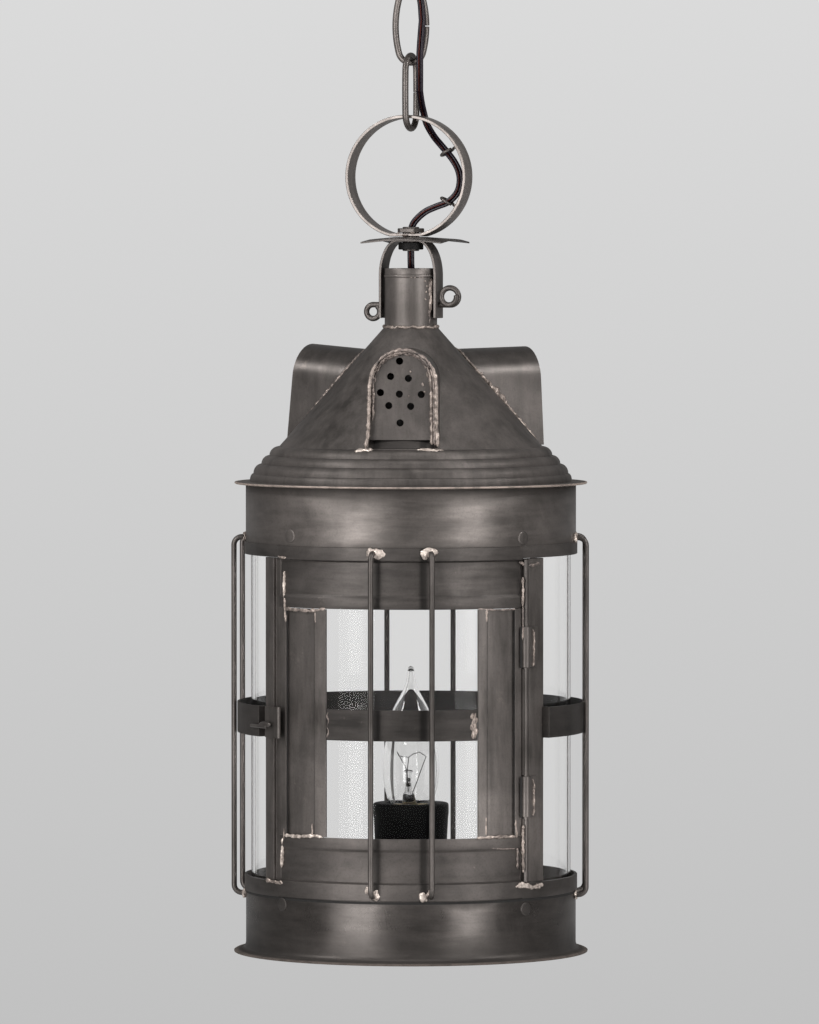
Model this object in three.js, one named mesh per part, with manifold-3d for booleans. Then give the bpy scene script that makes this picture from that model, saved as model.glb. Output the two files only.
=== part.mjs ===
// Outdoor hanging lantern: a soldered sheet-metal lantern with a curved glass chamber,
// hung by a strap bail, a flat ring and two chain links from a ceiling canopy.
// Millimetres, +Z up. The origin is on the ceiling, above the lantern's axis.
// Azimuths are in degrees about Z: 0 is the front (-Y) and +90 is the right (+X).

import * as THREE from 'three';
import { mergeVertices } from 'three/addons/utils/BufferGeometryUtils.js';
import Module from 'manifold-3d';

const wasm = await Module();
wasm.setup();

// Clearances
const SEAT = 0.3; // between pieces that touch, are soldered or are screwed together
const CUT_PAST = 2; // how far a cutting shape runs past what it cuts

// Sheet and turns
const SHEET = 0.8;
const BODY_TURN = -3.4;
const SUSPENSION_TURN = -20;

// Facets
const ROUND_STEPS = 44; // steps round a full turn of the body
const BACK_STEPS = 36; // steps round the back, from post to post
const DOOR_STEPS = 12; // steps across the door
const STILE_STEPS = 5;
const SHORT_STEPS = 3;
const SMALL_STEPS = 20; // steps round tubes, nuts and the lamp holder
const BULB_STEPS = 16;
const ROUND_SIDES = 8; // sides of thick wire and cord
const THIN_SIDES = 6; // sides of thin wire

// Chain and ring
const LINK_WIRE = 3.7;
const LINK_LENGTH = 45.5;
const LINK_WIDTH = 22.4;
const LINK_ENDS = { upper: 7.6, lower: 9.1 }; // radius of the end bends
const LINK_JOINT_GAP = 0.6;
const LINK_STRIP_GAP = 0.36;
const LINK_ARC_STEPS = 8;
const LINK_SIDE_STEPS = 2;
const RING_BOTTOM = -195.9;
const RING_HEIGHT = 69.7;
const RING_WIDTH = 73.4;
const RING_ASIDE = -1.3; // the ring's oval stands this far to the right of the hole in its foot
const RING_STRIP = 1.8;
const RING_DEPTH = 12.7;
const RING_FOOT_HALF = 9.4;
const RING_SEGMENTS = 22;
const GUIDE_WIRE = 1.6;
const GUIDE_MEAN_R = 4;
const GUIDE_STEM = 2.2;
const GUIDE_TILT = 31;
const GUIDE_EYE_FROM = 12;
const GUIDE_EYE_TO = 330;
const GUIDE_EYE_STEPS = 12;

// Threaded tube and nuts
const NIPPLE_R = 4.8;
const NIPPLE_BORE = 3.3;
const NIPPLE_PROUD = 0.8;
const NUT_FLATS = 14.3;
const NUT_HEIGHT = 2.6;
const LOCK_NUT_R = 7.2;
const LOCK_NUT_HEIGHT = 4.2;

// Bail
const CAP_SIZE = 49;
const CAP_ASIDE = 2.6; // the sheet's edges stand this far to the right of its hole
const CAP_THICK = 0.9;
const CAP_FLAT_R = 9;
const CAP_EDGE_DROOP = 1.1;
const CAP_CORNER_DROOP = 2.9;
const CAP_MID_DROOP = 1.5;
const CAP_POINTS = 16;
const STRAP_THICK = 1.6;
const STRAP_WIDTH = 12.7;
const STRAP_CROWN_HALF = 6;
const STRAP_SHOULDER = 21;
const STRAP_LEG_BOTTOM = -242.8;
const STRAP_STEPS = 9;

// Pivot pin
const PIN_R = 1.6;
const PIN_Z = -235.2;
const PIN_CLEAR = 0.3;
const LEFT_EYE_R = 4;
const RIGHT_EYE_R = 4.9;
const LEFT_EYE_OUT = 23.1;
const LEFT_EYE_TURN = 325;
const RIGHT_EYE_OUT = 24.5;
const RIGHT_EYE_TURN = 460;
const LEFT_EYE_STEPS = 14;
const RIGHT_EYE_STEPS = 20;

// Canopy
const CANOPY_R = 63.5;
const CANOPY_FLAT_R = 14.5;
const CANOPY_DEPTH = 24;
const CANOPY_SHEET = 1.2;
const CANOPY_LIP = 4;
const CANOPY_STEPS = 24;
const CANOPY_OGEE = [
  [35, -20.6],
  [54.5, -12.5],
  [61, -6],
];
const CROSSBAR = { length: 108, width: 20, thick: 2.2, slot: 5, slotFrom: 34, slotTo: 46, segments: 5 };
const LOOP_COLLAR_R = 12.5;
const LOOP_COLLAR_HEIGHT = 12;
const LOOP_THREAD_DEPTH = 8;
const LOOP_CHAMFER = 1.2;
const LOOP_HALF = 9;

// The drums' radius, from which the body's other radii are set off
const DRUM_R = 95;

// Collar and roof
const COLLAR_R = 15.1;
const COLLAR_TOP = -214.2;
const COLLAR_BEAD_Z = -218.6;
const COLLAR_BEAD = 0.45;
const COLLAR_STEPS = 24;
const CONE_TOP_Z = -247.9;
const CONE_TOP_R = 15.2;
const CONE_FOOT_Z = -316.5;
const CONE_FOOT_R = DRUM_R - 19.3;
const ROOF_BEADS = [
  [DRUM_R - 13.6, -321.7],
  [DRUM_R - 9, -326.6],
  [DRUM_R - 4.4, -332.1],
  [DRUM_R - 2.4, -335.9],
];
const BEAD_STEPS = 2;
const ROOF_EAVE = [DRUM_R + 6.3, -337];
const EAVE_RISE = 0.4;
const TRIM_DEPTH = 30;

// Dormers
const DORMERS = {
  front: { azimuth: 0, reach: 76.5, tilt: 0, pivot: 0 },
  right: { azimuth: 120, reach: 74.6, tilt: 1.5, pivot: 0 },
  left: { azimuth: -120, reach: 69.6, tilt: 4.2, pivot: 20 },
};
const HOOD_HALF = 19;
const HOOD_AXIS_Z = -278.5;
const HOOD_FLARE = 1.7;
const HOOD_SHEET = 1;
const VAULT_SEGMENTS = 10;
const GRILLE_INSET = 4.6; // from the hood's front to the plate's
const GRILLE_HOLE_R = 2.05;
const GRILLE_HOLE_SIDES = 8;
const GRILLE_TOP_HOLE_Z = -266.2;
const GRILLE_PITCH_Z = 8.8;
const GRILLE_PITCH_X = 5.6;
const GRILLE_ASIDE = -1.9;
const GRILLE_ROW_HOLES = [1, 2, 3, 2, 1];
const VENT_HALF = 13;
const VENT_FROM = 38;
const VENT_TO = 66;

// Drums
const TOP_DRUM_BOTTOM = -378;
const RIM_BAND = 7;
const RIM_PROUD = 0.8;
const LOW_BAND_EXTRA = 1.9;
const LOW_DRUM_TOP = -562.5;
const LOW_DRUM_BOTTOM = -607.2;
const LOW_DRUM_FLARE = [
  [6.8, 0],
  [2.4, 1.6],
  [0, 4.6],
];
const FLOOR_TOP = -573.7;
const FLOOR_RIM = 7;
const FLOOR_ROUND = 1;
const FLOOR_STEPS = 32;

// Guard wires
const GUARD_WIRE_R = 1.55;
const GUARD_R = DRUM_R + 6.8;
const GUARD_BEND = 4.6;
const GUARD_BEND_STEPS = 3;
const GUARD_PAIRS = {
  front: { azimuth: 0.3, half: 9.8 },
  right: { azimuth: 93.4, half: 8.8 },
  back: { azimuth: 180.3, half: 11.1 },
  left: { azimuth: -94.9, half: 8.3 },
};
const GUARD_RISE = 2.4;
const GUARD_LIFT = 3; // the front wires' lower ends above the band's foot

// Posts
const POSTS = {
  right: { from: 45.4, ridge: 48.2, to: 55.9 },
  left: { from: 49.1, ridge: 51.8, to: 57.3 },
};
const POST_FACE_R = DRUM_R;
const POST_REBATE_R = DRUM_R - 1.8;
const STOP_REACH = 2.2; // degrees that a post's stop reaches behind the door
const STOP_ROOT = 1.2;
const STOP_THICK = 1.2;

// Door
const DOOR_EDGES = { right: 44.6, left: 48.3 };
const DOOR_FACE_R = DRUM_R - 1.2;
const DOOR_BAND_CLEAR = 0.5; // degrees from the door's bands to the drums' bands
const APERTURE_HALF = 26.9;
const CHANNEL_TO = 31.6;
const CHANNEL_PROUD = 1.3;
const APERTURE_TOP = -406.2;
const APERTURE_BOTTOM = -535.9;
const CHANNEL_WIDTH = 7;
const MID_BAND_Z = -471.8;
const MID_BAND_TALL = 17.6;
const DOOR_BAND_LAP = 0.3;
const DOOR_GAP = 0.3;
const BAND_FOLD = 0.4;
const FOLD_RISE = 1;
const CREASE_HALF = 0.6;
const FOLD_BACK = 0.5;
const CHANNEL_WALL_TURN = 0.5;
const UPSTAND_PROUD = 0.7;
const NOTCH_CLEAR = 0.9;

// Hinge and latch
const HINGE_AZ = 46.3;
const HINGE_R = DRUM_R + 0.8;
const HINGE_ROD_R = 1.55;
const HINGE_STRAP_TALL = 23;
const HINGE_STRAPS = { upper: -428.5, lower: -513.5 };
const HINGE_STRAP_TO = 51.9;
const WRAP_END = 225;
const WRAP_LEAVES = 52;
const WRAP_BEND = 1.6;
const WRAP_EASE = 0.5;
const WRAP_SEGMENTS = 10;
const ROD_SIDES = 12;
const HOOP_END_RIGHT = 55.2;
const HOOP_END_LEFT = 303.2;
const HOOP_STRIP = 1;
const LIP_TURN = 0.6;
const LATCH_FROM = -53.5;
const LATCH_TO = -45.6;
const LATCH_IN = 0.75; // the catch's leaf inside the hoop's outer face
const LATCH_ROLL_R = 1.1;
const LATCH_PIN_R = 1.1;
const LATCH_PIN_FROM = -60.5;
const LATCH_PIN_TO = -50.5;
const LATCH_PIN_Z = -474.5;
const LATCH_PIN_STEPS = 6;

// Glass, lamp holder and bulb
const GLASS_R = DRUM_R - 3;
const GLASS_THICK = 2;
const GLASS_TOP = -372;
const GLASS_EDGES = { right: 47.4, left: 308.9 };
const DOOR_GLASS_THICK = 1.8;
const DOOR_GLASS_LAP = 2;
const SOCKET_TOP = -521.9;
const SOCKET_TOP_R = 21.8;
const SOCKET_FOOT_R = 18.5;
const SOCKET_BORE = 13.9;
const SOCKET_DEPTH = 30;
const SOCKET_STEM = 16;
const SOCKET_FOOT_TALL = 4;
const SOCKET_RIM_TALL = 6;
const SOCKET_ROUND = 1;
const BULB_BASE_R = 13.2;
const BULB_BASE_TOP = -523.5;
const BULB_BASE_LENGTH = 26;
const BULB_NECK_R = 12.1;
const BULB_NECK_IN = 6;
const BULB_LINE = [
  [BULB_NECK_R, -BULB_NECK_IN],
  [BULB_NECK_R, 0],
  [13.7, 5],
  [15.7, 13],
  [16.3, 21],
  [15.6, 30],
  [13.2, 41],
  [9.8, 53],
  [6.2, 64.5],
  [3.3, 73.5],
  [1.5, 78.5],
  [0, 80.5],
];
const BULB_INNER_LINE = [
  [11.3, -BULB_NECK_IN],
  [12.9, 5],
  [15.3, 21],
  [12.2, 41],
  [5.4, 64.5],
  [0, 77.5],
];
const BULB_CONTACT_LINE = [
  [0, 0],
  [3.5, 0],
  [4.5, 1.4],
  [8.5, 3.4],
];
const THREAD_DEPTH = 0.9;
const THREAD_HALF_PITCH = 2.9;
const THREAD_TURNS = 3;
const THREAD_FROM_TOP = 3;
const FILAMENT_Z = -490;
const FILAMENT_HALF = 7.5;
const FILAMENT_SWAY = 3.2;
const FILAMENT_DIP = 2.5;
const FILAMENT_WAVES = 4;
const FILAMENT_WIRE_R = 0.3;
const STEM_TALL = 26;
const STEM_LINE = [
  [0, 0],
  [6, 0],
  [3.2, 9],
  [2.4, 22],
  [3, 25],
  [1.6, STEM_TALL],
  [0, STEM_TALL],
];
const STEM_LEADS_HALF = 1.2;
const STEM_LEADS_IN = 2;

// Cord
const CORD_R = 2;
const LEAD_CLEAR = 1.7; // from the lead to the glass beside it
const LEAD_AZ = 57;
const CORD_STEPS = { canopy: 6, links: 6, ringTop: 8, ring: 14, neck: 5, inner: 36 };

const rad = THREE.MathUtils.degToRad;

// A point in plan, r from the axis at an azimuth
function polar(r, azimuth) {
  const a = rad(azimuth);
  return new THREE.Vector2(r * Math.sin(a), -r * Math.cos(a));
}

// Shared vertices merged, empty triangles dropped, faces turned outwards
function closed(geometry) {
  geometry.deleteAttribute('normal');
  geometry.deleteAttribute('uv');
  const merged = mergeVertices(geometry, 1e-4);
  const position = merged.getAttribute('position');
  const source = merged.getIndex().array;
  const kept = [];
  let volume = 0;
  for (let i = 0; i < source.length; i += 3) {
    const [a, b, c] = [source[i], source[i + 1], source[i + 2]];
    if (a === b || b === c || c === a) continue;
    kept.push(a, b, c);
    const pa = new THREE.Vector3().fromBufferAttribute(position, a);
    const pb = new THREE.Vector3().fromBufferAttribute(position, b);
    const pc = new THREE.Vector3().fromBufferAttribute(position, c);
    volume += pa.dot(pb.cross(pc)) / 6;
  }
  if (volume < 0) kept.reverse();
  merged.setIndex(kept);
  return merged;
}

function toSolid(geometry) {
  const clean = closed(geometry);
  const vertProperties = new Float32Array(clean.getAttribute('position').array);
  const triVerts = new Uint32Array(clean.getIndex().array);
  return new wasm.Manifold(new wasm.Mesh({ numProp: 3, vertProperties, triVerts }));
}

function toGeometry(solid) {
  const mesh = solid.getMesh();
  const geometry = new THREE.BufferGeometry();
  geometry.setAttribute('position', new THREE.BufferAttribute(mesh.vertProperties, 3));
  geometry.setIndex(new THREE.BufferAttribute(mesh.triVerts, 1));
  return geometry;
}

function cut(geometry, ...tools) {
  return toGeometry(tools.reduce((solid, tool) => solid.subtract(toSolid(tool)), toSolid(geometry)));
}

function join(geometry, ...others) {
  return toGeometry(others.reduce((solid, other) => solid.add(toSolid(other)), toSolid(geometry)));
}

function overlap(geometry, other) {
  return toGeometry(toSolid(geometry).intersect(toSolid(other)));
}

// An outline of [radius, height] points turned about Z, all round or between two azimuths
function revolve(outline, from = 0, to = 360, steps = ROUND_STEPS) {
  const points = outline.map(([r, z]) => new THREE.Vector2(r, z));
  if (THREE.ShapeUtils.area(points) < 0) points.reverse();
  const ring = [...points, points[0].clone()];
  const wall = new THREE.LatheGeometry(ring, steps, rad(from), rad(to - from));
  wall.rotateX(Math.PI / 2);
  if (to - from >= 360) return closed(wall);
  const faces = THREE.ShapeUtils.triangulateShape(points, []);
  const lastRing = steps * ring.length;
  const index = [...wall.getIndex().array];
  faces.forEach(([a, b, c]) => {
    index.push(a, b, c, lastRing + c, lastRing + b, lastRing + a);
  });
  wall.setIndex(index);
  return closed(wall);
}

// A plain ring wall between two radii and two heights
function wallRing(rInner, rOuter, zLow, zHigh, from = 0, to = 360, steps = ROUND_STEPS) {
  const outline = [
    [rOuter, zLow],
    [rOuter, zHigh],
    [rInner, zHigh],
    [rInner, zLow],
  ];
  return revolve(outline, from, to, steps);
}

// A profile moved inwards by a sheet's thickness; it runs upwards or inwards
function offsetLine(profile, thickness) {
  const points = profile.map(([r, z]) => new THREE.Vector2(r, z));
  return points.map((point, i) => {
    const before = points[Math.max(i - 1, 0)];
    const after = points[Math.min(i + 1, points.length - 1)];
    const inDir = point.clone().sub(before);
    const outDir = after.clone().sub(point);
    if (inDir.lengthSq() === 0) inDir.copy(outDir);
    if (outDir.lengthSq() === 0) outDir.copy(inDir);
    const along = inDir.normalize().add(outDir.normalize());
    const half = along.length() / 2;
    const side = new THREE.Vector2(-along.y, along.x).normalize();
    const moved = point.clone().addScaledVector(side, thickness / half);
    return [moved.x, moved.y];
  });
}

function sheetOutline(profile, thickness) {
  return [...profile, ...offsetLine(profile, thickness).reverse()];
}

// A route through given points, one tube step to each point
class PointRoute extends THREE.Curve {
  constructor(points) {
    super();
    this.points = points;
  }

  getPoint(t, target = new THREE.Vector3()) {
    const last = this.points.length - 1;
    const place = THREE.MathUtils.clamp(t, 0, 1) * last;
    const i = Math.min(Math.floor(place), last - 1);
    return target.lerpVectors(this.points[i], this.points[i + 1], place - i);
  }

  getUtoTmapping(u) {
    return u;
  }
}

function roundSection(radius, sides) {
  const shape = new THREE.Shape();
  for (let i = 0; i < sides; i += 1) {
    const a = (2 * Math.PI * (i + 0.5)) / sides;
    const move = i === 0 ? 'moveTo' : 'lineTo';
    shape[move](radius * Math.cos(a), radius * Math.sin(a));
  }
  return shape;
}

function wire(points, radius, sides = ROUND_SIDES) {
  const extrudePath = new PointRoute(points);
  const options = { steps: points.length - 1, extrudePath, bevelEnabled: false };
  return closed(new THREE.ExtrudeGeometry(roundSection(radius, sides), options));
}

function cordTube(places, steps) {
  const points = places.map(([x, y, z]) => new THREE.Vector3(x, y, z));
  const extrudePath = new THREE.CatmullRomCurve3(points, false, 'centripetal');
  const options = { steps, extrudePath, bevelEnabled: false };
  return closed(new THREE.ExtrudeGeometry(roundSection(CORD_R, ROUND_SIDES), options));
}

// Points on an arc in the plane of two directions, angles in degrees from the first
function arcPoints(centre, radius, from, to, steps, first, second) {
  const points = [];
  for (let i = 0; i <= steps; i += 1) {
    const a = rad(from + ((to - from) * i) / steps);
    const point = centre.clone();
    point.addScaledVector(first, radius * Math.cos(a));
    point.addScaledVector(second, radius * Math.sin(a));
    points.push(point);
  }
  return points;
}

// A flat outline in X and Z, given thickness along Y and centred on it
function uprightPlate(shape, depth, curveSegments = 1) {
  const geometry = new THREE.ExtrudeGeometry(shape, { depth, bevelEnabled: false, curveSegments });
  geometry.rotateX(Math.PI / 2);
  geometry.translate(0, depth / 2, 0);
  return closed(geometry);
}

function cylinder(radius, zLow, zHigh, sides = SMALL_STEPS) {
  const geometry = new THREE.CylinderGeometry(radius, radius, zHigh - zLow, sides);
  geometry.rotateX(Math.PI / 2);
  geometry.translate(0, 0, (zLow + zHigh) / 2);
  return geometry;
}

function box(width, depth, height, x, y, z) {
  const geometry = new THREE.BoxGeometry(width, depth, height);
  geometry.translate(x, y, z);
  return geometry;
}

const X = new THREE.Vector3(1, 0, 0);
const Y = new THREE.Vector3(0, 1, 0);
const Z = new THREE.Vector3(0, 0, 1);

// Finishes
function finish(color, roughness, metalness, extra = {}) {
  return new THREE.MeshStandardMaterial({ color, roughness, metalness, ...extra });
}

const FINISHES = {
  darkMetal: () => finish('#5c5450', 0.45, 0.85),
  wornMetal: () => finish('#6f6660', 0.5, 0.8),
  wireMetal: () => finish('#4b4542', 0.5, 0.85),
  glass: () => finish('#f4f6f6', 0.05, 0, { transparent: true, opacity: 0.25 }),
  holder: () => finish('#1d1b1b', 0.35, 0),
  brass: () => finish('#b59a5c', 0.35, 0.9),
  filament: () => finish('#8f8a84', 0.4, 0.9),
  cord: () => finish('#2b2027', 0.45, 0),
};

function addTo(group, name, geometry, finishName) {
  const mesh = new THREE.Mesh(geometry, FINISHES[finishName]());
  mesh.name = name;
  group.add(mesh);
  return mesh;
}

// Chain, worked out upwards from the ring's strip
const ringTop = RING_BOTTOM + RING_HEIGHT;
const ringInnerTop = ringTop - RING_STRIP;
const linkMeanHalf = (LINK_WIDTH - LINK_WIRE) / 2;
const linkMeanLength = LINK_LENGTH - LINK_WIRE;
const linkInnerEnd = LINK_ENDS.lower - LINK_WIRE / 2;
const stripRestDrop = linkInnerEnd - Math.sqrt(linkInnerEnd ** 2 - (RING_DEPTH / 2) ** 2);
const lowerLinkBottom = ringInnerTop - LINK_STRIP_GAP - stripRestDrop - LINK_WIRE / 2;
const lowerLinkTop = lowerLinkBottom + linkMeanLength;
const linkPitch = LINK_WIRE + SEAT;
const upperLinkBottom = lowerLinkTop - linkPitch;
const upperLinkTop = upperLinkBottom + linkMeanLength;
const loopBottom = upperLinkTop - linkPitch;

// An oval link of four bends in the plane of Z and one direction, butted in its right side
function chainLink(bottom, across, endR) {
  const halfTall = linkMeanLength / 2;
  const rise = halfTall - endR;
  const sideR = (linkMeanHalf ** 2 + rise ** 2 - endR ** 2) / (2 * (linkMeanHalf - endR));
  const lean = THREE.MathUtils.radToDeg(Math.atan2(rise, sideR - linkMeanHalf));
  const middle = new THREE.Vector3(0, 0, bottom + halfTall);
  const upper = middle.clone().setZ(middle.z + rise);
  const lower = middle.clone().setZ(middle.z - rise);
  const right = middle.clone().addScaledVector(across, linkMeanHalf - sideR);
  const left = middle.clone().addScaledVector(across, sideR - linkMeanHalf);
  const gap = THREE.MathUtils.radToDeg(LINK_JOINT_GAP / 2 / sideR);
  const points = [
    ...arcPoints(right, sideR, gap, lean, LINK_SIDE_STEPS, across, Z).slice(0, -1),
    ...arcPoints(upper, endR, lean, 180 - lean, LINK_ARC_STEPS, across, Z),
    ...arcPoints(left, sideR, 180 - lean, 180 + lean, 2 * LINK_SIDE_STEPS, across, Z).slice(1, -1),
    ...arcPoints(lower, endR, 180 + lean, 360 - lean, LINK_ARC_STEPS, across, Z),
    ...arcPoints(right, sideR, -lean, -gap, LINK_SIDE_STEPS, across, Z).slice(1),
  ];
  return wire(points, LINK_WIRE / 2);
}

// The crossbar is screwed to the ceiling box, and the threaded tube hangs in it
function crossbar() {
  const half = CROSSBAR.width / 2;
  const reach = CROSSBAR.length / 2 - half;
  const outline = new THREE.Shape();
  outline.absarc(reach, 0, half, -Math.PI / 2, Math.PI / 2, false);
  outline.absarc(-reach, 0, half, Math.PI / 2, (3 * Math.PI) / 2, false);
  const hole = new THREE.Path();
  hole.absarc(0, 0, NIPPLE_R + SEAT, 0, 2 * Math.PI, true);
  outline.holes.push(hole);
  [-1, 1].forEach((side) => {
    const slot = new THREE.Path();
    const near = side * CROSSBAR.slotFrom;
    const far = side * CROSSBAR.slotTo;
    const [low, high] = [Math.min(near, far), Math.max(near, far)];
    slot.absarc(high, 0, CROSSBAR.slot / 2, -Math.PI / 2, Math.PI / 2, false);
    slot.absarc(low, 0, CROSSBAR.slot / 2, Math.PI / 2, (3 * Math.PI) / 2, false);
    outline.holes.push(slot);
  });
  const bar = new THREE.ExtrudeGeometry(outline, {
    depth: CROSSBAR.thick,
    bevelEnabled: false,
    curveSegments: CROSSBAR.segments,
  });
  bar.translate(0, 0, -CROSSBAR.thick);
  return closed(bar);
}

// A spun ogee canopy with a rim lip on the ceiling and a flat round the loop's collar
function canopy() {
  const profile = [
    [NIPPLE_R + SEAT, -CANOPY_DEPTH],
    [CANOPY_FLAT_R, -CANOPY_DEPTH],
    ...CANOPY_OGEE,
    [CANOPY_R, -CANOPY_SHEET],
    [CANOPY_R, 0],
  ];
  const shell = sheetOutline(profile, CANOPY_SHEET);
  const lipOuter = CANOPY_R - CANOPY_SHEET / 2;
  const lipInner = CANOPY_R - CANOPY_LIP;
  const lip = wallRing(lipInner, lipOuter, -CANOPY_SHEET, 0, 0, 360, CANOPY_STEPS);
  return join(revolve(shell, 0, 360, CANOPY_STEPS), lip);
}

function threadedTube(zLow, zHigh) {
  return wallRing(NIPPLE_BORE, NIPPLE_R, zLow, zHigh, 0, 360, SMALL_STEPS);
}

// The collar screws up against the canopy, and its stirrup carries the chain
function canopyLoop() {
  const top = -CANOPY_DEPTH - SEAT;
  const bottom = top - LOOP_COLLAR_HEIGHT;
  const threadEnd = top - LOOP_THREAD_DEPTH;
  const outline = [
    [NIPPLE_R + SEAT, top],
    [NIPPLE_R + SEAT, threadEnd],
    [NIPPLE_BORE, threadEnd - LOOP_CHAMFER],
    [NIPPLE_BORE, bottom],
    [LOOP_COLLAR_R - LOOP_CHAMFER, bottom],
    [LOOP_COLLAR_R, bottom + LOOP_CHAMFER],
    [LOOP_COLLAR_R, top - LOOP_CHAMFER],
    [LOOP_COLLAR_R - LOOP_CHAMFER, top],
  ];
  const collar = revolve(outline, 0, 360, SMALL_STEPS);
  const centre = new THREE.Vector3(0, 0, loopBottom + LOOP_HALF);
  const leg = new THREE.Vector3(0, LOOP_HALF, bottom + LINK_WIRE / 2);
  const points = [
    leg,
    ...arcPoints(centre, LOOP_HALF, 0, -180, LINK_ARC_STEPS, Y, Z),
    leg.clone().setY(-LOOP_HALF),
  ];
  return join(collar, wire(points, LINK_WIRE / 2));
}

// The flat ring: an oval strip, flattened at its foot, with a hole for the threaded tube
const ringHalfTall = RING_HEIGHT / (1 + Math.sqrt(1 - (RING_FOOT_HALF / (RING_WIDTH / 2)) ** 2));
const ringCentre = ringTop - ringHalfTall;

function ovalWithFoot(path, inset, clockwise) {
  const tall = ringHalfTall - inset;
  const foot = Math.asin((RING_BOTTOM + inset - ringCentre) / tall);
  const [from, to] = clockwise ? [Math.PI - foot, foot] : [foot, Math.PI - foot];
  path.absellipse(RING_ASIDE, ringCentre, RING_WIDTH / 2 - inset, tall, from, to, clockwise);
  return path;
}

function flatRing() {
  const outline = ovalWithFoot(new THREE.Shape(), 0, false);
  outline.holes.push(ovalWithFoot(new THREE.Path(), RING_STRIP, true));
  const ring = uprightPlate(outline, RING_DEPTH, RING_SEGMENTS);
  const hole = cylinder(NIPPLE_R + SEAT, RING_BOTTOM - CUT_PAST, RING_BOTTOM + RING_STRIP + CUT_PAST);
  return cut(ring, hole);
}

// A wire eye on a short stem soldered inside the ring; the cord runs through it
function wireGuide(side) {
  const tilt = rad(GUIDE_TILT) * side;
  const outwards = new THREE.Vector3(Math.cos(tilt), 0, Math.sin(tilt));
  const centre = new THREE.Vector3(RING_ASIDE, 0, ringCentre);
  const a = RING_WIDTH / 2 - RING_STRIP;
  const b = ringHalfTall - RING_STRIP;
  const reach = 1 / Math.hypot(outwards.x / a, outwards.z / b);
  const stemEnd = centre.clone().addScaledVector(outwards, reach - SEAT - GUIDE_WIRE / 3);
  const eye = stemEnd.clone().addScaledVector(outwards, -GUIDE_STEM - GUIDE_MEAN_R);
  const [from, to] = [GUIDE_EYE_FROM, GUIDE_EYE_TO];
  const curl = arcPoints(eye, GUIDE_MEAN_R, from, to, GUIDE_EYE_STEPS, outwards, Y);
  return wire([stemEnd, ...curl], GUIDE_WIRE / 2, THIN_SIDES);
}

// The stack under the ring, from the top down
const capTop = RING_BOTTOM - SEAT;
const strapTop = capTop - CAP_THICK - SEAT;
const lockNutTop = strapTop - STRAP_THICK - SEAT;
const lockNutBottom = lockNutTop - LOCK_NUT_HEIGHT;
const ringNutBottom = RING_BOTTOM + RING_STRIP + SEAT;

function hexNut(zLow, height) {
  const nut = cylinder(NUT_FLATS / 2 / Math.cos(Math.PI / 6), zLow, zLow + height, 6);
  return cut(nut, cylinder(NIPPLE_R + SEAT, zLow - CUT_PAST, zLow + height + CUT_PAST));
}

function lockNut() {
  return wallRing(NIPPLE_R + SEAT, LOCK_NUT_R, lockNutBottom, lockNutTop, 0, 360, SMALL_STEPS);
}

// A square sheet creased from its flat middle to the corners and edges, which droop
function capPlate() {
  const count = CAP_POINTS;
  const hole = [];
  const flat = [];
  const edge = [];
  for (let i = 0; i < count; i += 1) {
    const a = (2 * Math.PI * i) / count;
    const [c, s] = [Math.cos(a), Math.sin(a)];
    const toEdge = CAP_SIZE / 2 / Math.max(Math.abs(c), Math.abs(s));
    const droops = { 0: CAP_EDGE_DROOP, 2: CAP_CORNER_DROOP };
    const droop = droops[i % 4] ?? CAP_MID_DROOP;
    hole.push(new THREE.Vector3((NIPPLE_R + SEAT) * c, (NIPPLE_R + SEAT) * s, 0));
    flat.push(new THREE.Vector3(CAP_FLAT_R * c, CAP_FLAT_R * s, 0));
    edge.push(new THREE.Vector3(toEdge * c + CAP_ASIDE, toEdge * s, -droop));
  }
  const levels = [capTop, capTop - CAP_THICK];
  const rings = [hole, flat, edge];
  const vertex = (ring, level, i) => {
    const p = rings[ring][i % count];
    return [p.x, p.y, p.z + levels[level]];
  };
  const loop = [
    [0, 0],
    [1, 0],
    [2, 0],
    [2, 1],
    [1, 1],
    [0, 1],
  ];
  const positions = [];
  loop.forEach(([ring, level], k) => {
    const [nextRing, nextLevel] = loop[(k + 1) % loop.length];
    for (let i = 0; i < count; i += 1) {
      const a = vertex(ring, level, i);
      const b = vertex(ring, level, i + 1);
      const c = vertex(nextRing, nextLevel, i);
      const d = vertex(nextRing, nextLevel, i + 1);
      positions.push(...a, ...c, ...d, ...a, ...d, ...b);
    }
  });
  const geometry = new THREE.BufferGeometry();
  geometry.setAttribute('position', new THREE.Float32BufferAttribute(positions, 3));
  return closed(geometry);
}

// The strap bail: flat crown under the cap, round shoulders and two straight legs
const strapInnerHalf = COLLAR_R + COLLAR_BEAD + SEAT;
const strapOuterHalf = strapInnerHalf + STRAP_THICK;

function bailStrap() {
  const edge = (half, top, bottom) => {
    const points = [];
    const steps = STRAP_STEPS;
    const shoulder = half - STRAP_CROWN_HALF;
    const drop = STRAP_SHOULDER - (strapTop - top);
    points.push([half, bottom]);
    for (let i = 0; i <= steps; i += 1) {
      const a = (Math.PI / 2) * (i / steps);
      points.push([STRAP_CROWN_HALF + shoulder * Math.cos(a), top - drop + drop * Math.sin(a)]);
    }
    return points;
  };
  const outer = edge(strapOuterHalf, strapTop, STRAP_LEG_BOTTOM);
  const inner = edge(strapInnerHalf, strapTop - STRAP_THICK, STRAP_LEG_BOTTOM);
  const mirror = (points) => points.map(([x, z]) => [-x, z]).reverse();
  const outline = [...outer, ...mirror(outer), ...mirror(inner).reverse(), ...inner.reverse()];
  const shape = new THREE.Shape(outline.map(([x, z]) => new THREE.Vector2(x, z)));
  const strap = uprightPlate(shape, STRAP_WIDTH);
  const tubeHole = cylinder(NIPPLE_R + SEAT, lockNutTop - CUT_PAST, strapTop + CUT_PAST);
  return cut(strap, tubeHole, pinHole(strapOuterHalf + CUT_PAST));
}

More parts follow.
